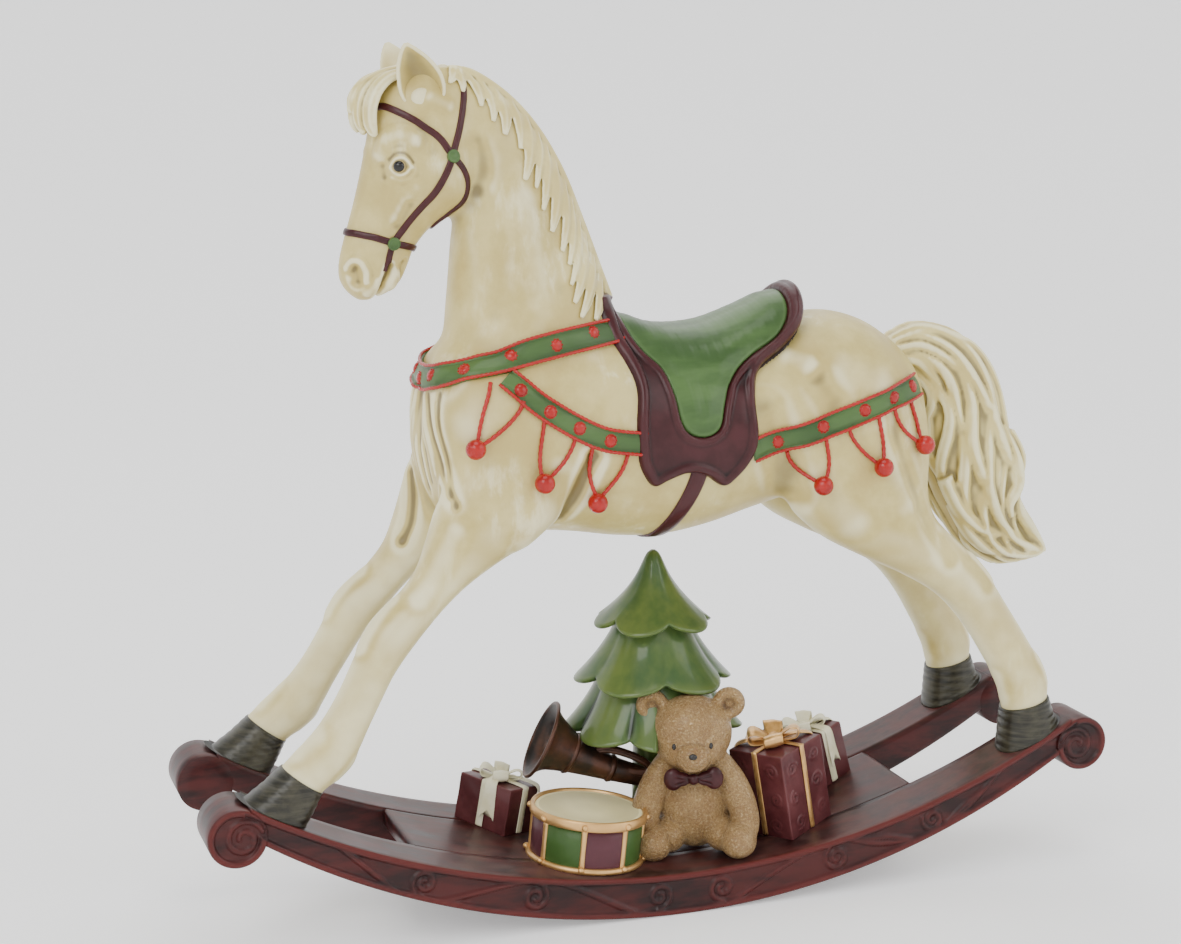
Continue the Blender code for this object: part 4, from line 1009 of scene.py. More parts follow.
forelock = [
    [(-130, -5, 437, 3.5, 1.6), (-139, -7, 434.5, 4.2, 2.2), (-146, -9, 429, 4.6, 2.6),
     (-150, -10.5, 421, 4.6, 2.8),
     (-150.5, -11, 413, 4.2, 2.6), (-149, -11, 408, 2.8, 2), (-147.2, -11, 406, 1, 1)],
    [(-132, -1, 438, 4, 1.8), (-143, -2, 434.5, 4.2, 2.4), (-151, -3.5, 428, 4.2, 2.8),
     (-154.5, -5, 420, 3.8, 2.6),
     (-154.5, -6, 412, 2.8, 2.2), (-152.5, -6.5, 407, 1.2, 1)],
    [(-140, 0, 436, 3, 1.8), (-150, 0, 432, 3.2, 2.2), (-156, -1.5, 425, 3, 2.2),
     (-157.5, -2.5, 417, 1.4, 1.2)],
]
tail = {
    "rows": [
        (138, 292, 146, 276, 8, 0), (155, 299, 153, 271, 11, 0), (172, 297, 160, 262, 14, 0),
        (189, 287, 163, 252, 17, 0), (202, 271, 164, 241, 19, 0), (210, 250, 165, 226, 20, 0),
        (216, 228, 168, 210, 20, 0), (217, 206, 176, 194, 19, 0), (219, 190, 188, 176, 16, 0),
        (227, 178, 204, 164, 12, 0), (236, 170, 222, 162, 7, 0), (241, 167, 238, 163, 3, 0)],
    "locks": 9,
    "sway": 0.085,
    "free": [  # locks that leave the outline
        [(205, -9, 240, 5, 4), (214, -12, 222, 5, 4), (216, -13, 208, 4.4, 3.6), (211, -13, 197, 3.6, 3),
         (214, -12, 189, 1.2, 1)],
        [(212, -4, 236, 5, 5), (219.5, -5, 222, 4.6, 4.4), (218, -6, 209, 4, 4), (221, -6, 199, 1.6, 1.4)],
        [(170, -13, 214, 4.6, 3.6), (178, -15, 198, 4.6, 3.6), (190, -14, 186, 4.2, 3.2),
         (205, -11, 181, 3.6, 3), (217, -7, 186, 2, 1.6)],
        [(176, -12, 200, 4.4, 3.6), (186, -12, 184, 4.4, 3.6), (200, -10, 172, 4, 3.2),
         (216, -6, 169, 3, 2.6), (229, -3, 172, 1.4, 1.2)],
        [(214, -8, 204, 4, 4), (220, -8, 192, 4, 3.6), (229, -6, 181, 3.4, 3), (238, -3, 170, 2.2, 2),
         (241.5, -2, 165, 1, 1)],
    ],
}


def tailParts():
    rows = dense(tail["rows"], 10)
    parts = [skinRings(loft([(r[0], r[1], r[2], r[3], r[4] * 0.86, 0) for r in tail["rows"]], 48))]
    length = np.linspace(0, 1, len(rows))
    for side in (-1, 1):
        for k in range(tail["locks"]):
            f = (k + 0.5) / tail["locks"]
            path = []
            for i in range(0, len(rows), 5):
                u = length[i]
                wave = math.sin(u * 15 + k * 1.9 + side * 0.6) * tail["sway"] * min(1, u * 2.4)
                g = np.clip(f + wave, 0.02, 0.98)
                x = rows[i, 0] + (rows[i, 2] - rows[i, 0]) * g
                z = rows[i, 1] + (rows[i, 3] - rows[i, 1]) * g
                span = math.hypot(rows[i, 0] - rows[i, 2], rows[i, 1] - rows[i, 3])
                swell = 0.84 + 0.10 * math.sin(u * 11 + k * 2.3)
                y = side * rows[i, 4] * math.sqrt(max(1 - (2 * g - 1) ** 2, 0.03)) * swell
                path.append((x, y, z, span / tail["locks"] * 0.72, 2.6 * min(1, rows[i, 4] / 10)))
            parts.append(lockShape(path, tailOutward, 2, 0.25, steps=5))
        for lock in tail["free"]:
            shift = 0 if side < 0 else 5
            parts.append(lockShape([(x - shift * 0.6, -side * y, z + shift, w, t) for x, y, z, w, t in lock],
                                   tailOutward, 2, 0.25))
    return parts


def tailOutward(point):
    middle = np.array([0.182, 0, 0.225])
    away = point - middle
    return np.array([away[0] * 0.25, np.sign(point[1]) * max(abs(point[1]), 0.006) * 1.6, away[2] * 0.25])


def makeHooves():
    paint = Paint("hoof", Coat_Weight=0.12, Coat_Roughness=0.12, Specular_IOR_Level=0.3)
    bands = paint.noise(70, 5, 0.6, stretch=(0.5, 0.5, 6))
    mottle = paint.clamp(paint.noise(90, 4, 0.6), 0.42, 0.7)
    tone = paint.mix(paint.clamp(bands, 0.38, 0.66), (0.012, 0.011, 0.007), (0.042, 0.039, 0.025))
    tone = paint.mix(mottle * 0.35, tone, (0.080, 0.072, 0.044))
    horn = paint.finish(Base_Color=tone, Roughness=0.26 + bands * 0.14,
                        Normal=paint.bump(bands, 0.35, 0.0008))
    for side, word in twoSides():
        for end in ("front", "rear"):
            rings = loft(hoofTables[end], 72, side, 14, 2.25)
            ripple = np.sin(np.linspace(0, 1, len(rings)) * 62) * 0.10 * mm
            middle = rings.mean(1, keepdims=True)
            rings = middle + (rings - middle) * (1 + ripple[:, None, None] / 0.013)
            inner = middle[:1] + (rings[:1] - middle[:1]) * 0.80 + (rings[:1] - rings[3:4]).mean(1,
                    keepdims=True) * 0.10
            rings = np.concatenate([inner, rings])
            ground = topAt(rings[:, :, 0])
            rings[:, :, 2] = np.maximum(rings[:, :, 2], ground)
            piece = addMesh("hoof_%s_%s_shell" % (end, word), *skinRings(rings))
            markRelief(piece, 6, 0.5)
            show(piece, horn, "hoof", "hoof_%s_%s" % (end, word), "dowel_%s_%s" % (end, word))


makeEars()
makeEyes()
makeHair()
makeHooves()
print("horse carved, eyes, ears, hair and hooves made")


# harness: everything here lies on the casting

def onSide(x, z, side, lift=0.0):  # the coat's flank at x, z in mm
    start = Vector((x * mm, side * 0.12, z * mm))
    place, normal, _, _ = castTree.ray_cast(start, Vector((0, -side, 0)))
    if place is None:
        place, normal = onCoat(Vector((x, side * 20, z)) * mm)
    return np.array(place + normal * lift * mm), np.array(normal)


def beltShape(path, half, profile, steps, lift=0.0):  # a band on the coat: profile gives (across, height)
    path = evenly(dense(path, 12), steps) * mm
    seats = [onCoat(p) for p in path]
    path = relaxedLine(np.array([s[0] for s in seats]), 6)
    normals = relaxedLine(np.array([s[1] for s in seats]), 10)
    halves = np.broadcast_to(half, (steps,)) if np.isscalar(half) else np.interp(
        np.linspace(0, 1, steps), np.linspace(0, 1, len(half)), half)
    rings = []
    for i, here in enumerate(path):
        along = path[min(i + 1, steps - 1)] - path[max(i - 1, 0)]
        across = np.cross(normals[i], along)
        across /= np.linalg.norm(across)
        ring = []
        for offset, height in profile:
            place, normal = onCoat(here + across * offset * halves[i] * mm)
            out = np.array(normal) * 0.4 + normals[i] * 0.6
            ring.append(np.array(place) + out / np.linalg.norm(out) * (height + lift) * mm)
        rings.append(ring)
    return np.array(rings)


def relaxedLine(line, rounds):
    for _ in range(rounds):
        line[1:-1] = line[1:-1] * 0.5 + (line[2:] + line[:-2]) * 0.25
    return line


def cordShape(path, radius, pitch=2.4, around=10, twist=0.16):
    gone = np.concatenate([[0], np.cumsum(np.linalg.norm(np.diff(path, axis=0), axis=1))])
    path = evenly(path, max(int(gone[-1] / (0.42 * mm)), 12))
    gone = np.linspace(0, gone[-1], len(path))
    side = None
    rings = []
    for i, here in enumerate(path):
        along = path[min(i + 1, len(path) - 1)] - path[max(i - 1, 0)]
        along /= np.linalg.norm(along)
        side = np.cross(along, (0.31, 0.87, 0.38)) if side is None else side
        side = side - along * (side @ along)
        side /= np.linalg.norm(side)
        other = np.cross(along, side)
        angle = 2 * math.pi * np.arange(around) / around
        reach = radius * mm * (1 + twist * np.cos(2 * angle - gone[i] / (pitch * mm) * 2 * math.pi))
        rings.append(here + np.outer(np.cos(angle) * reach, side) + np.outer(np.sin(angle) * reach, other))
    return skinRings(np.array(rings))


bandProfile = [(-1.0, -1.0), (-1.0, 1.3), (-0.95, 1.75), (-0.86, 1.8), (-0.80, 1.45), (-0.74, 1.1),
               (-0.66, 1.35),
               (-0.4, 1.6), (0, 1.75), (0.4, 1.6), (0.66, 1.35), (0.74, 1.1), (0.80, 1.45), (0.86, 1.8),
               (0.95, 1.75), (1.0, 1.3), (1.0, -1.0)]
thinProfile = [(-1.0, -0.8), (-1.0, 0.75), (-0.82, 1.15), (-0.4, 1.3), (0, 1.35), (0.4, 1.3), (0.82, 1.15),
               (1.0, 0.75), (1.0, -0.8)]
harness = {
    "collar": [(-23, -22, 308.6), (-31, -27, 306), (-60.5, -37.5, 302.6), (-92, -37, 295.6),
               (-112, -29, 289.5),
               (-121.5, -18, 286), (-125, -7, 284.4), (-125.5, 0, 284)],
    "collarHalf": 6.3,
    "shoulder": [(-90.5, -40, 286), (-85, -43, 281.2), (-73, -47, 271.5), (-56, -48.5, 261), (-40, -48, 254),
                 (-19, -47, 250.5)],
    "shoulderHalf": 5.6,
    "rump": [(41.5, -45, 243), (67, -48, 248.9), (89, -49, 256), (112, -48.5, 264), (131, -44, 269.6),
             (143, -36, 272.4)],
    "rumpHalf": 5.9,
    "girth": [(13, -46, 240), (10, -45.5, 226), (6, -41, 212), (2, -30, 201), (-1, -14, 195), (-2, 0, 193.5)],
    "girthHalf": 4.6,
    "collarStuds": [(-41.4, 305.6), (-63, 301.2), (-85.7, 296.2), (-108.6, 289.6), (-120.5, 285.4)],
    "shoulderStuds": [(-84.5, 280.6), (-70.2, 269.6), (-55.3, 260.8), (-38.6, 253.6)],
    "rumpStuds": [(56.3, 246.6), (80.2, 253.6), (103.3, 261.4), (120.6, 266.9), (134.8, 270.7)],
    "studRadius": 2.9,
    "cord": 0.85,
    "pendantCord": 1.05,
    "ball": 5.2,
    "pendants": {
        "shoulder_pendant_a": ((-107.4, 254), (-98.5, 283), (-83.5, 274)),
        "shoulder_pendant_b": ((-74.5, 234.3), (-73.5, 264.5), (-57.5, 254.5)),
        "shoulder_pendant_c": ((-43.4, 223.2), (-48, 250), (-29, 244)),
        "rump_pendant_a": ((80.2, 223.6), (62.2, 239.5), (82, 245.5)),
        "rump_pendant_b": ((112.1, 231.2), (95, 250), (111.5, 255.5)),
        "rump_pendant_c": ((138, 239.6), (122, 259), (133, 261.5)),
    },
}


def mirrored(path):  # a near-side path carried on round to the far side
    path = [tuple(p) for p in path]
    return path + [(x, -y, z) for x, y, z in path[-2::-1]]


def flipped(path, side):
    return [(x, -side * y, z) for x, y, z in path]


def edgeCords(rings, radius):  # a twisted cord along each edge of a belt
    return [cordShape(rings[:, k] + (rings[:, k] - rings[:, j]) * 0.25, radius) for k,
            j in ((2, 4), (-3, -5))]


def studShape(place, normal, radius):
    turn = Vector(normal).to_track_quat("Z", "Y").to_matrix()
    place = np.array(place)
    rings = turnedRings((
        (radius + 0.5, -0.9), (radius + 0.55, 0.25), (radius + 0.3, 0.5), (radius + 0.02, 0.3),
        (radius * 0.97, 0.75),
        (radius * 0.82, 1.2), (radius * 0.55, 1.55), (radius * 0.25, 1.7), (0.05, 1.75)), 28) * mm
    parts = [skinRings(rings @ np.array(turn).T + place)]
    for k in range(10):  # claws round the stone
        angle = 2 * math.pi * k / 10
        spot = Vector(((radius + 0.25) * math.cos(angle), (radius + 0.25) * math.sin(angle), 0.5)) * mm
        parts.append(ballShape(turn @ spot + Vector(place), [0.42 * mm] * 3, 6, 4))
    return parts


def makeHarness():
    leather = glossPaint("green leather", (0.008, 0.022, 0.007), (0.036, 0.078, 0.020), (0.072, 0.138, 0.040),
                         0.32, 0.3, 55, (0.3, 1, 1))
    redGloss = glossPaint("red gloss", (0.07, 0.003, 0.003), (0.28, 0.006, 0.004), (0.40, 0.012, 0.009), 0.16,
                          0.6, 90)
    belts = [("collar", mirrored(harness["collar"]), harness["collarHalf"], 620, "breast_collar")]
    for side, word in twoSides():
        belts.append(("shoulderStrap_" + word, flipped(harness["shoulder"], side), harness["shoulderHalf"],
                      230,
                      "shoulder_strap_" + word))
        belts.append(("rumpStrap_" + word, flipped(harness["rump"], side), harness["rumpHalf"], 270,
                      "rump_strap_" + word))
    for name, path, half, steps, node in belts:
        rings = beltShape(path, half, bandProfile, steps, 0.5 if name == "collar" else 0.0)
        band = addMesh(name + "_band", *skinRings(rings))
        markRelief(band, 8, 0.45)
        show(band, leather, "green", node)
        trim = addMesh(name + "_trim", *merge(edgeCords(rings, harness["cord"])))
        markRelief(trim, 4, 0.3)
        show(trim, redGloss, "red", node)
        key = name.split("Strap")[0] + "Studs"
        parts = []
        for x, z in harness[key]:
            for side in ((-1, 1) if name == "collar" else (-1,) if name.endswith("left") else (1,)):
                place, normal = onSide(x, z, side, 1.6 if name == "collar" else 1.3)
                parts += studShape(place, normal, harness["studRadius"])
        if name == "collar":
            place, normal = onCoat(Vector((-0.135, 0, 0.284)))
            parts += studShape(place + normal * 1.7 * mm, normal, harness["studRadius"])
        studs = addMesh(name + "_studs", *merge(parts))
        markRelief(studs, 4, 0.4)
        show(studs, redGloss, "red", node)
    for name, (centre, first, last) in harness["pendants"].items():
        for side, word in twoSides():
            show(pendantShape(name + "_" + word + "_drop", centre, first, last, side), redGloss, "red",
                 name + "_" + word)
    return redGloss, leather


def pendantShape(name, centre, first, last, side):
    ball, cord = harness["ball"], harness["pendantCord"]
    bead, normal = onSide(*centre, side, ball * 0.92)
    parts = [ballShape(bead, [ball * mm] * 3, 40, 24)]
    for foot, bow in ((first, 1), (last, -1)):
        path = []
        for t in np.linspace(0, 1, 9):
            sag = 1.9 * math.sin(math.pi * t) * bow
            x = foot[0] + (centre[0] - foot[0]) * t - sag
            z = foot[1] + (centre[1] - foot[1]) * t - abs(sag) * 0.3
            if t == 0:
                z += 1.5
            lift = cord * 0.9 + (ball * 0.8 - cord) * max(0, t - 0.55) ** 1.6 * 3
            path.append(onSide(x, z, side, lift)[0])
        path[-1] = bead
        path = relaxedLine(dense(path, 6), 8)
        parts.append(cordShape(path, cord, 3.4, 10, 0.10))
    piece = addMesh(name, *merge(parts))
    markRelief(piece, 4, 0.4)
    return piece


# saddle: one form over the back, raised inside its outlines

saddle = {
    "form": [(-38, 323, -26, 262, 20, 0), (-22, 312, -14, 256, 29, 0), (0, 303, 2, 250, 35, 0),
             (28, 303, 28, 250, 37, 0),
             (52, 310.5, 50, 254, 34, 0), (72, 319, 66, 262, 30, 0), (85, 320, 78, 268, 22, 0)],
    "skirt": [(-15, 323), (-33.5, 323), (-33.2, 315), (-30.5, 303), (-25, 291), (-21.5, 278), (-23.5, 260),
              (-22.5, 243), (-19, 234), (-13, 227.5), (-5, 230.5), (5, 233.5), (15, 231.5), (26, 225),
              (34, 230), (41, 239),
              (44.5, 250), (44.5, 270), (49, 284), (62, 293), (74, 302.5), (81, 314), (84, 326), (85, 345)],
    "seat": [(-12, 323), (-24.5, 323), (-22, 311), (-19, 302), (-13, 293), (-5.5, 285), (-1.5, 273),
             (0.5, 261),
             (5, 254), (14, 251.5), (22.5, 255.5), (27, 268), (34, 282), (45, 290.5), (60, 298.5), (69, 308),
             (73, 318),
             (74.5, 330), (75, 345)],
    "voxel": 0.8,
}


def outlineDistance(x, z, outline):  # positive inside
    path = dense(outline + outline[:1], 6)
    flat = np.stack([x, z], 1)
    gap, _ = pathDistance(flat, path)
    inside = np.zeros(len(x), bool)
    for (ax, az), (bx, bz) in zip(path[:-1], path[1:]):
        crosses = (az > z) != (bz > z)
        inside ^= crosses & (x < ax + (z - az) * (bx - ax) / (bz - az if bz != az else 1e-9))
    return np.where(inside, gap, -gap)


def makeSaddle(leather):
    form = bmesh.new()
    form.from_mesh(casting.data)
    for place, away in (((-0.060, 0, 0), (-1, 0, 0)), ((0.108, 0, 0), (1, 0, 0)),
                        ((0, 0, 0.205), (0, 0, -1))):
        geometry = form.verts[:] + form.edges[:] + form.faces[:]
        cut = bmesh.ops.bisect_plane(form, geom=geometry, plane_co=place, plane_no=away, clear_outer=True)
        rim = [e for e in cut["geom_cut"] if isinstance(e, bmesh.types.BMEdge)]
        bmesh.ops.edgeloop_fill(form, edges=rim)
    trunk = bpy.data.meshes.new("trunk")
    form.to_mesh(trunk)
    form.free()
    trunkPoints = [v.co[:] for v in trunk.vertices]
    trunkFaces = [tuple(f.vertices) for f in trunk.polygons]
    blank = fused("saddleBlank", [(trunkPoints, trunkFaces), skinRings(loft(saddle["form"], 96))],
                  saddle["voxel"])
    edges = edgesOf(blank)
    points = relaxed(pointsOf(blank), edges, 30, 0.6)
    setPoints(blank, points)
    normals = relaxed(normalsOf(blank), edges, 10, 0.6)
    normals /= np.linalg.norm(normals, axis=1)[:, None]
    x, z = points[:, 0] / mm, points[:, 2] / mm
    edge = outlineDistance(x, z, saddle["skirt"])
    inner = outlineDistance(x, z, saddle["seat"])
    rear = ramp(x, 52, 76) * ramp(z, 288, 306)
    front = ramp(-x, 14, 28) * ramp(z, 296, 310)
    skirt = -1.2 + 3.4 * ramp(edge, -0.5, 0.9)
    skirt += 1.3 * ramp(edge, 0.6, 2.4) - 1.7 * ramp(edge, 4.4, 6.0)
    skirt += 1.5 * ramp(inner, -4.2, -2.8) * ramp(edge, 3.0, 5.0)
    skirt += (2.6 * rear + 1.2 * front) * np.sin(np.clip(edge / 9, 0, 1) * math.pi)
    skirt -= 4.2 * ramp(inner, -0.7, 0.7)
    seat = -1.0 + 3.3 * ramp(inner, -0.5, 0.6) + 1.6 * ramp(inner, 0.4, 9)
    fold = np.sin(x * 0.9 + np.sin(z * 0.13) * 2) * 0.05 + np.sin(x * 2.3 + z * 0.2) * 0.03
    seat += fold * ramp(inner, 1, 3)
    faces = facesOf(blank)
    firsts = np.array([f[0] for f in faces])
    high = points[:, 2] > 0.214
    oxblood = glossPaint("oxblood gloss", (0.010, 0.002, 0.002), (0.028, 0.004, 0.005), (0.055, 0.012, 0.014),
                         0.26, 0.25, 45)
    for name, height, wanted, paint, slot, node in (
            ("saddleSkirt", skirt, (edge > -1.6) & (inner < 2.2) & high, oxblood, "burgundy", "saddle_skirt"),
            ("saddleSeat", seat, (inner > -1.8) & high, leather, "green", "saddle_seat")):
        shape = points + normals * (height * mm)[:, None]
        mine = [faces[k] for k in np.nonzero(wanted[firsts])[0]]
        piece, _ = someOf(name, shape, mine)
        setPoints(piece, relaxed(pointsOf(piece), edgesOf(piece), 1, 0.4))
        markRelief(piece, 14, 0.6)
        show(piece, paint, slot, node)
    bpy.data.objects.remove(blank, do_unlink=True)
    rings = beltShape(mirrored(harness["girth"]), harness["girthHalf"], thinProfile, 240)
    show(addMesh("girthStrap", *skinRings(rings)), oxblood, "burgundy", "girth")
    return oxblood


bridle = {
    "straps": [  # path on the near side, half width
        ([(-153, -4, 423), (-149, -8, 422), (-142, -11.5, 420), (-129, -20, 413), (-118, -23, 404.5),
          (-112, -23, 396)], 1.75),
        ([(-112, -23, 396), (-107, -20, 410), (-103.5, -16, 424), (-101.5, -13, 433)], 1.75),
        ([(-112, -23, 396), (-105.5, -20.5, 388), (-102.5, -18, 380), (-104, -16, 372), (-110, -12, 365.5),
          (-117, -5, 361.5), (-118, 0, 361)], 1.6),
        ([(-112, -23, 396), (-116, -22.5, 387), (-121, -21, 378), (-130.5, -17.5, 366), (-140, -13.5, 353)],
         1.75),
        ([(-163.5, 0, 359), (-162, -5, 358.6), (-152, -12, 356.8), (-140, -13.5, 353), (-131, -9.5, 350.6),
          (-128, -3, 350), (-128, 0, 350)], 1.75),
        ([(-140, -13.5, 353), (-142, -13.3, 346), (-143.2, -12.8, 338.5)], 1.6),
    ],
    "rosettes": [(-112, -23, 395.8), (-140, -13.6, 352.8)],
    "rosetteRadius": 3.3,
}


def makeBridle(oxblood, leather):
    parts, discs = [], []
    for side in (-1, 1):
        for path, half in bridle["straps"]:
            rings = beltShape(flipped(path, side), half, thinProfile, 26 + 9 * len(path), -0.1)
            parts.append(skinRings(rings))
        for x, y, z in bridle["rosettes"]:
            place, normal = onCoat(Vector((x, -side * y, z)) * mm)
            discs += rosetteShape(place + normal * 1.0 * mm, normal, bridle["rosetteRadius"])
    straps = addMesh("bridleStraps", *merge(parts))
    markRelief(straps, 5, 0.4)
    show(straps, oxblood, "burgundy", "bridle")
    rosettes = addMesh("bridleRosettes", *merge(discs))
    markRelief(rosettes, 4, 0.4)
    show(rosettes, leather, "green", "bridle")


def rosetteShape(place, normal, radius):
    turn = np.array(Vector(normal).to_track_quat("Z", "Y").to_matrix())
    rings = turnedRings((
        (radius, -0.8), (radius, 0.9), (radius * 0.93, 1.25), (radius * 0.8, 1.3), (radius * 0.68, 1.1),
        (radius * 0.5, 1.35), (radius * 0.25, 1.5), (0.05, 1.55)), 32) * mm
    return [skinRings(rings @ turn.T + np.array(place))]


redGloss, greenLeather = makeHarness()
oxblood = makeSaddle(greenLeather)
makeBridle(oxblood, greenLeather)
splitCasting()
print("harness and saddle made")


# toys on the deck

def seatedAt(x, y, turn=0.0):  # maps a toy's own mm to the world, square on the deck
    lean = Matrix.Rotation(-math.asin(x * mm / topArc), 3, "Y") @ Matrix.Rotation(math.radians(turn), 3, "Z")
    spin = np.array(lean)
    foot = np.array((x * mm, y * mm, topAt(x * mm)))
    return lambda points: np.asarray(points, float) @ spin.T * mm + foot


def placed(shape, seat):
    return seat(shape[0]), shape[1]


def ringShape(profile, around=96):  # a closed (radius, height) profile turned about Z
    rings = turnedRings(profile, around)
    faces = gridFaces(len(profile), around)
    last = (len(profile) - 1) * around
    faces += [(last + k, last + (k + 1) % around, (k + 1) % around, k) for k in range(around)]
    return rings.reshape(-1, 3), faces


def turnedShape(profile, around=96):  # an open profile turned about Z and closed by its ends
    return skinRings(turnedRings(profile, around))


drum = {
    "spot": (-44, -24.5, 0), "radius": 29.3, "panels": 8, "knob": 1.75, "rod": 1.5,
    "topHoop": [(28.6, 23.4), (30.7, 23.3), (31.3, 23.8), (31.4, 25.6), (31.3, 27.6), (30.8, 28.5),
                (30.0, 28.7),
                (29.3, 28.2), (28.8, 27.0)],
    "lowHoop": [(28.6, 0.2), (30.9, 0.2), (31.6, 0.9), (31.7, 2.0), (31.3, 3.0), (30.4, 3.4), (28.8, 3.4)],
    "skin": [(28.9, 24.0), (29.0, 26.6), (28.5, 27.3), (27.6, 27.55), (26.6, 27.2), (20, 27.0), (10, 26.9),
             (0.2, 26.85)],
}


def makeDrum():
    seat = seatedAt(*drum["spot"])
    green = glossPaint("drum green", (0.010, 0.022, 0.006), (0.032, 0.074, 0.016), (0.044, 0.095, 0.022),
                       0.36, 0.2, 70)
    red = glossPaint("drum red", (0.02, 0.006, 0.008), (0.060, 0.016, 0.023), (0.085, 0.026, 0.034), 0.36,
                     0.2, 70)
    plates = {0: [], 1: []}
    rods = []
    step = 2 * math.pi / drum["panels"]
    radius = drum["radius"]
    for k in range(drum["panels"]):
        angles = np.linspace((k - 0.47) * step, (k + 0.47) * step, 22)
        loop = [(radius - 2, 1), (radius - 0.3, 1), (radius, 3), (radius + 0.12, 13), (radius, 25),
                (radius - 2, 25)]
        rings = np.array([[(r * math.cos(a), r * math.sin(a), h) for r, h in loop] for a in angles])
        plates[k % 2].append(placed(skinRings(rings), seat))
        a = (k + 0.5) * step
        out = np.array((math.cos(a), math.sin(a), 0))
        side = np.array((-math.sin(a), math.cos(a), 0))
        shape = []
        for h, wide in ((2, 1.7), (4, 1.45), (13, 1.3), (22, 1.5), (24.5, 1.75)):
            shape.append([out * (radius + o) + side * s * wide + np.array((0, 0, h)) for s, o in (
                (-1, -1.2), (-1.05, 0.3), (-0.8, 0.95), (-0.3, 1.2), (0.3, 1.2), (0.8, 0.95), (1.05, 0.3),
                (1, -1.2))])
        rods.append(placed(skinRings(np.array(shape)), seat))
        for height, reach in ((25.6, 1.9), (2.6, 2.1)):
            rods.append(placed(ballShape(out * (radius + reach) + np.array((0, 0, height)),
                                         [drum["knob"]] * 3, 20, 12), seat))
    for parity, word, paint in ((0, "Red", red), (1, "Green", green)):
        show(addMesh("drumPanels" + word, *merge(plates[parity])), paint, "drum_panels", "drum_shell")
    hoops = [placed(ringShape(drum[key]), seat) for key in ("topHoop", "lowHoop")]
    cage = addMesh("drumCage", *merge(hoops + rods))
    markRelief(cage, 8, 0.4)
    gold = glossPaint("old gold", (0.10, 0.045, 0.015), (0.50, 0.27, 0.085), (0.70, 0.43, 0.17), 0.30, 0.1,
                      120,
                      metallic=0.75)
    show(cage, gold, "gold", "drum_cage")
    cream = glossPaint("drum skin", (0.30, 0.24, 0.09), (0.82, 0.74, 0.40), (0.88, 0.81, 0.48), 0.45, 0.1, 40,
                       (1, 0.3, 1))
    show(addMesh("drumSkin", *placed(turnedShape(drum["skin"]), seat)), cream, "drum_skin", "drum_skin")
    return gold, cream


bear = {
    "spot": (20.0, -23.5, -20),
    "scale": 1.13,
    "balls": [((0, 0, 21), (17.5, 14, 21)), ((0, -1, 36), (13.5, 10, 10)), ((0, -3, 58), (19.3, 16, 18.2)),
              ((0, -8, 52), (15, 12, 11)), ((0, -17.5, 50), (8.2, 6.5, 7.2)), ((-20, -16, 8.2), (9, 11, 8.7)),
              ((20, -16, 8.2), (9, 11, 8.7)), ((-13, -7, 9), (9, 12, 8.5)), ((13, -7, 9), (9, 12, 8.5))],
    "ear": ((18.2, -2, 71.5), (7.9, 4.6, 7.9)),
    "arm": [(13, -3, 42, 6.2), (18, -5, 34, 7.0), (22, -8, 25, 7.2), (24, -11, 17, 6.8),
            (24.5, -12.5, 12.5, 5.8)],
    "voxel": 0.55,
    "eye": (8.6, 55.5), "nose": (0, 52.3), "smile": [(-4.8, 48.2), (-3.2, 46.2), (0, 45.2), (3.2, 46.2),
                                                     (4.8, 48.2)],
}


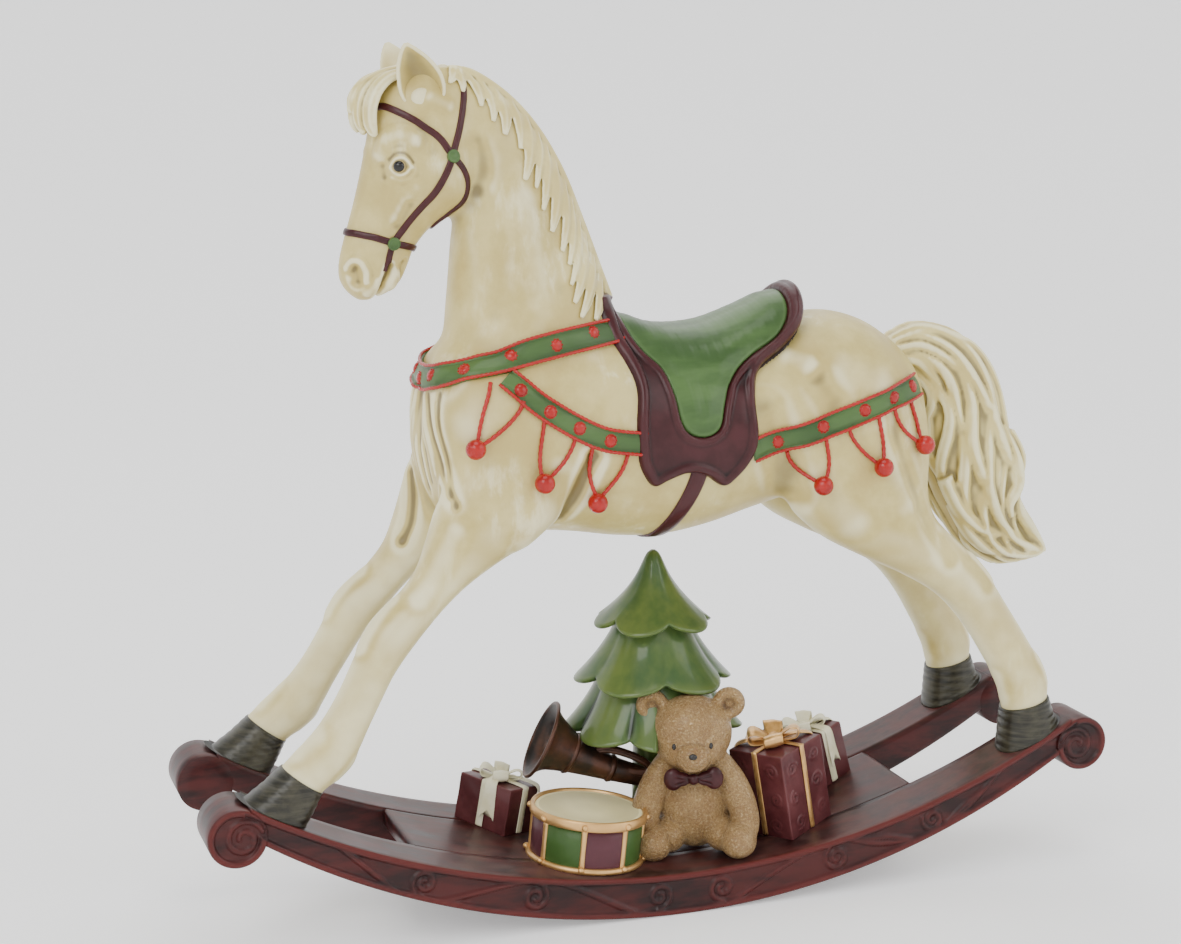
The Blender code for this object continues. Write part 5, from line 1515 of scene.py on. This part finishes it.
def makeBear():
    foot = seatedAt(*bear["spot"])

    def seat(points):
        return foot(np.asarray(points, float) * bear["scale"])
    parts = [ballShape(c, r, 36, 24) for c, r in bear["balls"]]
    for side in (-1, 1):
        centre, radii = bear["ear"]
        parts.append(ballShape((side * centre[0], centre[1], centre[2]), radii, 30, 18))
        rows = dense(bear["arm"], 5)
        parts += [ballShape((side * x, y, z), (r, r, r), 20, 12) for x, y, z, r in rows]
    points, faces = merge(parts)
    body = fused("bear", [(points * mm, faces)], bear["voxel"])
    edges = edgesOf(body)
    local = relaxed(pointsOf(body), edges, 16, 0.6) / mm
    setPoints(body, local * mm)
    normals = normalsOf(body)
    (ex, _, ez), (er, _, _) = bear["ear"]
    gap = np.hypot(np.abs(local[:, 0]) - ex, local[:, 2] - ez)
    local[:, 1] += 3.0 * (1 - ramp(gap, 1.5, er * 0.75)) * (normals[:, 1] < -0.1)
    smile = np.array(dense(bear["smile"], 8))
    near, _ = pathDistance(local[:, [0, 2]], smile)
    front = (normals[:, 1] < -0.2) & (local[:, 1] < -14)
    local -= normals * (0.55 * (1 - ramp(near, 0.15, 0.75)) * front)[:, None]
    ring = np.abs(np.hypot(local[:, 0] / 8.6, (local[:, 2] - 50) / 7.6) - 1)
    local -= normals * (0.35 * (1 - ramp(ring, 0.02, 0.16)) * (local[:, 1] < -10))[:, None]
    setPoints(body, relaxed(local * mm, edges, 1, 0.4))
    markRelief(body, 22, 0.8)
    setPoints(body, seat(pointsOf(body) / mm))
    show(body, furPaint(), "bear", "bear")
    skin = treeOf(pointsOf(body), facesOf(body))

    def onFace(x, z):
        start, ahead = seat([(x, -60, z), (x, 0, z)])
        return skin.ray_cast(Vector(start), Vector(ahead - start).normalized())[0]
    black = glossPaint("bear black", (0.004, 0.004, 0.004), (0.010, 0.009, 0.008), (0.016, 0.014, 0.012),
                       0.12, 0.9, 60)
    turn = Matrix.Rotation(math.radians(bear["spot"][2]), 3, "Z")
    dots = [ballShape(onFace(side * bear["eye"][0], bear["eye"][1]), np.array((1.15, 0.8, 1.75)) * mm, 20, 12,
                      turn)
            for side in (-1, 1)]
    show(addMesh("bearEyes", *merge(dots)), black, "eye", "bear")
    nose = ballShape(onFace(*bear["nose"]), np.array((2.2, 1.2, 1.75)) * mm, 24, 14, turn)
    show(addMesh("bearNose", *merge([nose])), black, "eye", "bear")
    loops = []
    for side in (-1, 1):
        loops.append(ballShape((side * 9.6, -15.6, 39), (4.6, 3.0, 5.6), 30, 18))
        loops.append(ballShape((side * 5.6, -15.6, 39), (4.2, 2.6, 3.6), 30, 18))
    loops.append(ballShape((0, -16.4, 39), (2.6, 2.6, 2.8), 30, 18))
    points, faces = merge(loops)
    tie = fused("bearTie", [(points * mm, faces)], 0.4)
    local = relaxed(pointsOf(tie), edgesOf(tie), 8, 0.6) / mm
    for side in (-1, 1):
        for lean in (-0.9, 0.9):
            near, _ = pathDistance(local[:, [0, 2]],
                                   np.array([(side * 2.6, 39 + lean * 0.5), (side * 8, 39 + lean * 2.2)]))
            local[:, 1] += 0.6 * (1 - ramp(near, 0.1, 0.9)) * (local[:, 1] < -15)
    setPoints(tie, local * mm)
    markRelief(tie, 12, 0.4)
    setPoints(tie, seat(local))
    show(tie, oxblood, "burgundy", "bear_bow_tie")


def furPaint():
    paint = Paint("bear fur", Specular_IOR_Level=0.55, Coat_Roughness=0.12)
    relief = paint.relief()
    patches = paint.noise(70, 4, 0.6)
    stipple = paint.noise(900, 3, 0.7, warp=0.4)
    colour = paint.mix(paint.clamp(patches, 0.32, 0.70), (0.36, 0.20, 0.070), (0.50, 0.31, 0.125))
    colour = paint.mix(paint.clamp(stipple, 0.50, 0.66) * 0.6, colour, (0.72, 0.54, 0.30))
    colour = paint.mix(paint.clamp(stipple, 0.48, 0.34) * 0.6, colour, (0.12, 0.055, 0.018))
    # darker in the hollows: painted shade
    colour = paint.mix(paint.clamp(relief, 0.47, 0.10), colour, (0.075, 0.032, 0.012))
    height = paint.clamp(stipple, 0.35, 0.70)
    return paint.finish(Base_Color=colour, Roughness=0.24 + patches * 0.14, Coat_Weight=0.3 - patches * 0.2,
                        Normal=paint.bump(height, 0.9, 0.0012))


bugle = {
    "path": [(-57, 8, 81), (-52, 7, 78.5), (-44, 6, 74), (-33, 4, 68.5), (-20, 2, 63), (-8, 0, 59),
             (2, -2, 56)],
    "radii": [21, 15.6, 11.8, 8.8, 6.9, 5.9, 5.2],
    "loopCentre": (-14, -2, 68), "loopTube": 2.1,
}


def tubeRings(path, radii, around=56):
    path = np.asarray(path, float)
    side = None
    rings = []
    for i, here in enumerate(path):
        along = path[min(i + 1, len(path) - 1)] - path[max(i - 1, 0)]
        along /= np.linalg.norm(along)
        side = np.cross(along, (0, 0, 1)) if side is None else side
        side = side - along * (side @ along)
        side /= np.linalg.norm(side)
        other = np.cross(along, side)
        spin = 2 * math.pi * np.arange(around) / around
        rings.append(here + radii[i] * (np.outer(np.cos(spin), side) + np.outer(np.sin(spin), other)))
    return np.array(rings)


def makeBugle():
    rows = dense([(*p, r) for p, r in zip(bugle["path"], bugle["radii"])], 8)
    outer = tubeRings(rows[:, :3], rows[:, 3])
    inner = tubeRings(rows[:18, :3], np.maximum(rows[:18, 3] - 1.3, 1.0))[::-1]
    mouth = rows[0, :3] - rows[1, :3]
    mouth /= np.linalg.norm(mouth)
    lip = []
    for t in np.linspace(-0.5, 1.25, 8) * math.pi:  # the rolled rim
        middle = rows[0, :3] + mouth * (0.2 + 1.1 * math.cos(t))
        lip.append(tubeRings([middle, middle - mouth], [rows[0, 3] + 0.2 + 1.1 * math.sin(t)] * 2)[0])
    lip = np.array(lip)
    flip = np.concatenate([inner[:-1], lip, outer[1:]])
    parts = [skinRings(flip * mm)]
    centre = np.array(bugle["loopCentre"])
    angle = 2 * math.pi * np.arange(73) / 72
    loop = np.stack([14.1 * np.cos(angle), -4 * np.cos(angle), 4.6 * np.sin(angle) - 5.1 * np.cos(angle)],
                    1) + centre
    for shift in (0, 1.9):
        ring = loop + np.array((0.2, -0.6, -0.5)) * shift
        parts.append(skinRings(tubeRings(ring[:-1], [bugle["loopTube"] - 0.3 * shift] * 72, 18) * mm))
    for x, r in ((1.0, 7.2), (2.8, 6.8)):  # bands where the tube leaves the bell
        k = int(x * 8) + 10
        parts.append(skinRings(tubeRings(rows[k - 1:k + 2, :3],
                                         [rows[k, 3] + 0.2, rows[k, 3] + 1.0, rows[k, 3] + 0.2], 40) * mm))
    horn = addMesh("bugle", *merge(parts))
    markRelief(horn, 6, 0.3)
    paint = glossPaint("dark bronze", (0.006, 0.004, 0.003), (0.016, 0.011, 0.009), (0.080, 0.030, 0.016),
                       0.33, 0.15, 75,
                       metallic=0.5)
    show(horn, paint, "bronze", "bugle")


tree = {
    "spot": (8, 12),
    "tiers": [  # tip height, hem height, tip radius, hem radius, folds, phase, droop
        (123, 84, 26, 47, 8, 0.9, 5.0), (151, 113, 17, 41, 6, 0.55, 8.0), (180.5, 144, 1.2, 31, 6, 0.1, 7.5)],
    "trunk": [(11, 30), (11, 50), (10, 100), (8, 150)],
}


def tierShape(top, hem, narrow, wide, folds, phase, droop, around=144, steps=34):
    spin = 2 * math.pi * np.arange(around) / around
    lobe = np.abs(np.cos(folds * spin / 2 + phase + 0.35 * np.sin(spin * 2 + phase))) ** 0.75
    lobe = 0.25 + 0.75 * lobe
    rings = []
    for t in np.linspace(0, 1, steps):
        flare = 0.55 * t + 0.45 * t ** 2.3
        radius = narrow + (wide - narrow) * flare
        radius = radius * (1 + 0.24 * t ** 1.5 * (lobe - 0.75))
        height = top - (top - hem) * (t ** 0.92) - droop * t ** 3 * (lobe - 0.55)
        if narrow < 3:
            radius = radius + 9 * math.sqrt(t) * math.exp(-t * 4.2)
        rings.append((radius, height))
    for t in np.linspace(0.12, 1, 9):  # the rolled hem and the hollow under it
        radius, height = rings[steps - 1]
        turn = t * math.pi * 0.8
        rings.append((radius * (1 - 0.075 * (1 - math.cos(turn))) - 8 * max(0, t - 0.7),
                      height - 1.7 * math.sin(turn) + 3 * max(0, t - 0.7)))
    rings.append((rings[-1][0] * 0.5, rings[-1][1] + 4))
    return skinRings(np.array([np.stack([r * np.cos(spin), r * np.sin(spin), h], 1) for r, h in rings]))


def makeTree():
    x, y = tree["spot"]
    parts = [tierShape(*row) for row in tree["tiers"]]
    parts.append(turnedShape(tree["trunk"], 40))
    points, faces = merge(parts)
    points = points + np.array((x, y, 0))
    limit = -9 - 40 * ramp(np.abs(points[:, 0] - 24), 12, 44) - 30 * ramp(points[:, 2], 98, 106)
    points[:, 1] = np.where(points[:, 1] < limit, limit + (points[:, 1] - limit) * 0.08, points[:, 1])
    fir = addMesh("fir", points * mm, faces)
    markRelief(fir, 26, 0.8)
    paint = glossPaint("fir green", (0.004, 0.012, 0.004), (0.036, 0.080, 0.024), (0.100, 0.145, 0.034), 0.26,
                       0.7, 38,
                       (1, 1, 0.35))
    show(fir, paint, "fir", "tree")


gifts = {
    "gift_small": {"spot": (-79.5, 27.0, 33), "size": (24, 36, 26), "bow": 0.85, "band": 2.3,
                   "ribbon": "cream",
                   "tails": ((200, 25), (300, 20))},
    "gift_large": {"spot": (74.5, -21.5, 29), "size": (36, 36, 48), "bow": 1.05, "band": 1.7,
                   "ribbon": "gold",
                   "tails": ((330, 18), (120, 18))},
    "gift_back": {"spot": (112.0, 21.5, 26), "size": (30, 28, 31), "bow": 0.9, "band": 2.4, "ribbon": "cream",
                  "tails": ((280, 26), (340, 24))},
}


def ribbonShape(path, across, half, thick, notch=0.0, count=40, columns=13):
    path = evenly(dense(path, 8), count)
    across = np.asarray(across, float) / np.linalg.norm(across)
    halves = np.interp(np.linspace(0, 1, count), np.linspace(0, 1, len(half)), half)
    ups = []
    for i in range(count):
        along = path[min(i + 1, count - 1)] - path[max(i - 1, 0)]
        up = np.cross(along, across)
        ups.append(up / max(np.linalg.norm(up), 1e-9))
    ups = np.array(ups)
    rings = []
    span = np.linspace(-1, 1, columns)
    for i in range(count):
        s = i / (count - 1)
        top, low = [], []
        for u in span:
            at = s * (1 - notch * (1 - abs(u))) * (count - 1)
            k = min(int(at), count - 2)
            t = at - k
            here = path[k] * (1 - t) + path[k + 1] * t
            up = ups[k] * (1 - t) + ups[k + 1] * t
            edge = thick * (1 - 0.7 * abs(u) ** 4) + 0.25 * thick * math.cos(u * math.pi * 1.5)
            offset = across * u * halves[i]
            top.append(here + offset + up * edge / 2)
            low.append(here + offset - up * edge / 2)
        rings.append(top + low[::-1])
    return skinRings(np.array(rings))


def bowParts(size, tall, box):
    parts = []
    for k, angle in enumerate((38, 128, 218, 308)):
        a = math.radians(angle)
        out = np.array((math.cos(a), math.sin(a), 0))
        path = [out * r * size + np.array((0, 0, tall + h * size)) for r, h in (
            (0.5, 1.6), (4.5, 4.4), (9.2, 7.2), (12.4, 7.0), (13.4, 4.6), (12.0, 2.2), (8.0, 1.0), (3.5, 1.1),
            (0.5, 1.4))]
        parts.append(ribbonShape(path, (-math.sin(a), math.cos(a), 0.15 * (-1) ** k),
                                 (2.0 * size, 3.8 * size, 5.0 * size, 5.2 * size, 5.0 * size, 3.6 * size,
                                  2.0 * size), 1.25))
    parts.append(ballShape((0, 0, tall + 2.6 * size), (3.4 * size, 3.0 * size, 2.8 * size), 24, 14))
    for angle, length in box["tails"]:
        a = math.radians(angle)
        out = np.array((math.cos(a), math.sin(a), 0))
        wide, deep, _ = box["size"]
        reach = min(wide / 2 / max(abs(out[0]), 1e-3), deep / 2 / max(abs(out[1]), 1e-3))
        path = [out * r + np.array((0, 0, h)) for r, h in (
            (0.5, tall + 1.6), (reach * 0.45, tall + 2.6), (reach * 0.85, tall + 1.6),
            (reach + 1.1, tall - 1.0),
            (reach + 1.3, tall - length * 0.45), (reach + 1.8, tall - length * 0.8))]
        parts.append(ribbonShape(path, (-math.sin(a), math.cos(a), 0), (1.6, 2.6, 3.4, 3.9, 4.6), 1.1,
                                 notch=0.16))
    return parts


def makeGifts(gold, cream):
    wrap = glossPaint("gift wrap", (0.014, 0.004, 0.004), (0.066, 0.014, 0.016), (0.11, 0.030, 0.032), 0.34,
                      0.35, 55)
    ivory = glossPaint("ivory ribbon", (0.30, 0.24, 0.11), (0.70, 0.65, 0.42), (0.80, 0.77, 0.58), 0.42, 0.15,
                       90)
    for name, box in gifts.items():
        seat = seatedAt(*box["spot"])
        wide, deep, tall = box["size"]
        corners = np.array([(x, y, z) for z in (-0.4, tall) for x,
                            y in ((-wide, -deep), (wide, -deep), (wide, deep), (-wide, deep))],
                           float) * (0.5, 0.5, 1)
        faces = [(3, 2, 1, 0), (4, 5, 6, 7)] + [(k, (k + 1) % 4, 4 + (k + 1) % 4, 4 + k) for k in range(4)]
        paper = fused(name, [(corners * mm, faces)], 0.6)
        edges = edgesOf(paper)
        local = relaxed(pointsOf(paper), edges, 5, 0.6) / mm
        setPoints(paper, local * mm)
        normals = normalsOf(paper)
        wave = np.sin(local[:, 0] * 0.31 + local[:, 2] * 0.23) * np.sin(local[:, 1] * 0.27 - local[:,
                2] * 0.19 + 1.1)
        local += normals * (wave * 0.16)[:, None]
        if name == "gift_large":
            local += normals * embossed(local, normals, box["size"])[:, None]
        setPoints(paper, local * mm)
        markRelief(paper, 10, 0.3)
        setPoints(paper, seat(local))
        show(paper, wrap, "wrapping", name)
        band = box["band"]
        parts = []
        for turned in (False, True):
            a, b = (wide / 2, (0, 1, 0)) if not turned else (deep / 2, (1, 0, 0))
            off = 0.45
            path = [(-a - off, 1.0), (-a - off, tall * 0.5), (-a - off, tall - 1.5), (-a + 1, tall + off),
                    (0, tall + off + 0.2 * turned),
                    (a - 1, tall + off), (a + off, tall - 1.5), (a + off, tall * 0.5), (a + off, 1.0)]
            path = [(p, 0, h) if not turned else (0, p, h) for p, h in path]
            parts.append(ribbonShape(path, b, (band,) * 2, 1.1, count=90, columns=9))
        parts += bowParts(box["bow"], tall, box)
        ribbon = addMesh(name + "_bow", *placed(merge(parts), seat))
        markRelief(ribbon, 10, 0.5)
        paint, slot = (gold, "gold") if box["ribbon"] == "gold" else (ivory, "cream_ribbon")
        show(ribbon, paint, slot, name + "_ribbon")


def embossed(local, normals, size):  # low curls pressed up from the paper
    wide, deep, tall = size
    lift = np.zeros(len(local))
    for axis, reach in ((0, deep), (1, wide)):
        flat = local[:, [1 - axis, 2]]
        mine = np.abs(normals[:, axis]) > 0.8
        for u, h, r, start in ((-0.27, 0.80, 4.2, 20), (0.27, 0.84, 3.4, 200), (-0.30, 0.46, 3.6, 100),
                               (0.26, 0.52, 4.6, 320),
                               (-0.24, 0.15, 4.0, 250), (0.30, 0.19, 3.2, 60)):
            path = curl((u * reach, h * tall), r, start, 1.5, 0.2, 44)
            near, _ = pathDistance(flat, path)
            lift += 0.42 * (1 - ramp(near, 0.35, 1.05)) * mine
    return lift


gold, cream = makeDrum()
makeBear()
makeBugle()
makeTree()
makeGifts(gold, cream)
print("toys made")
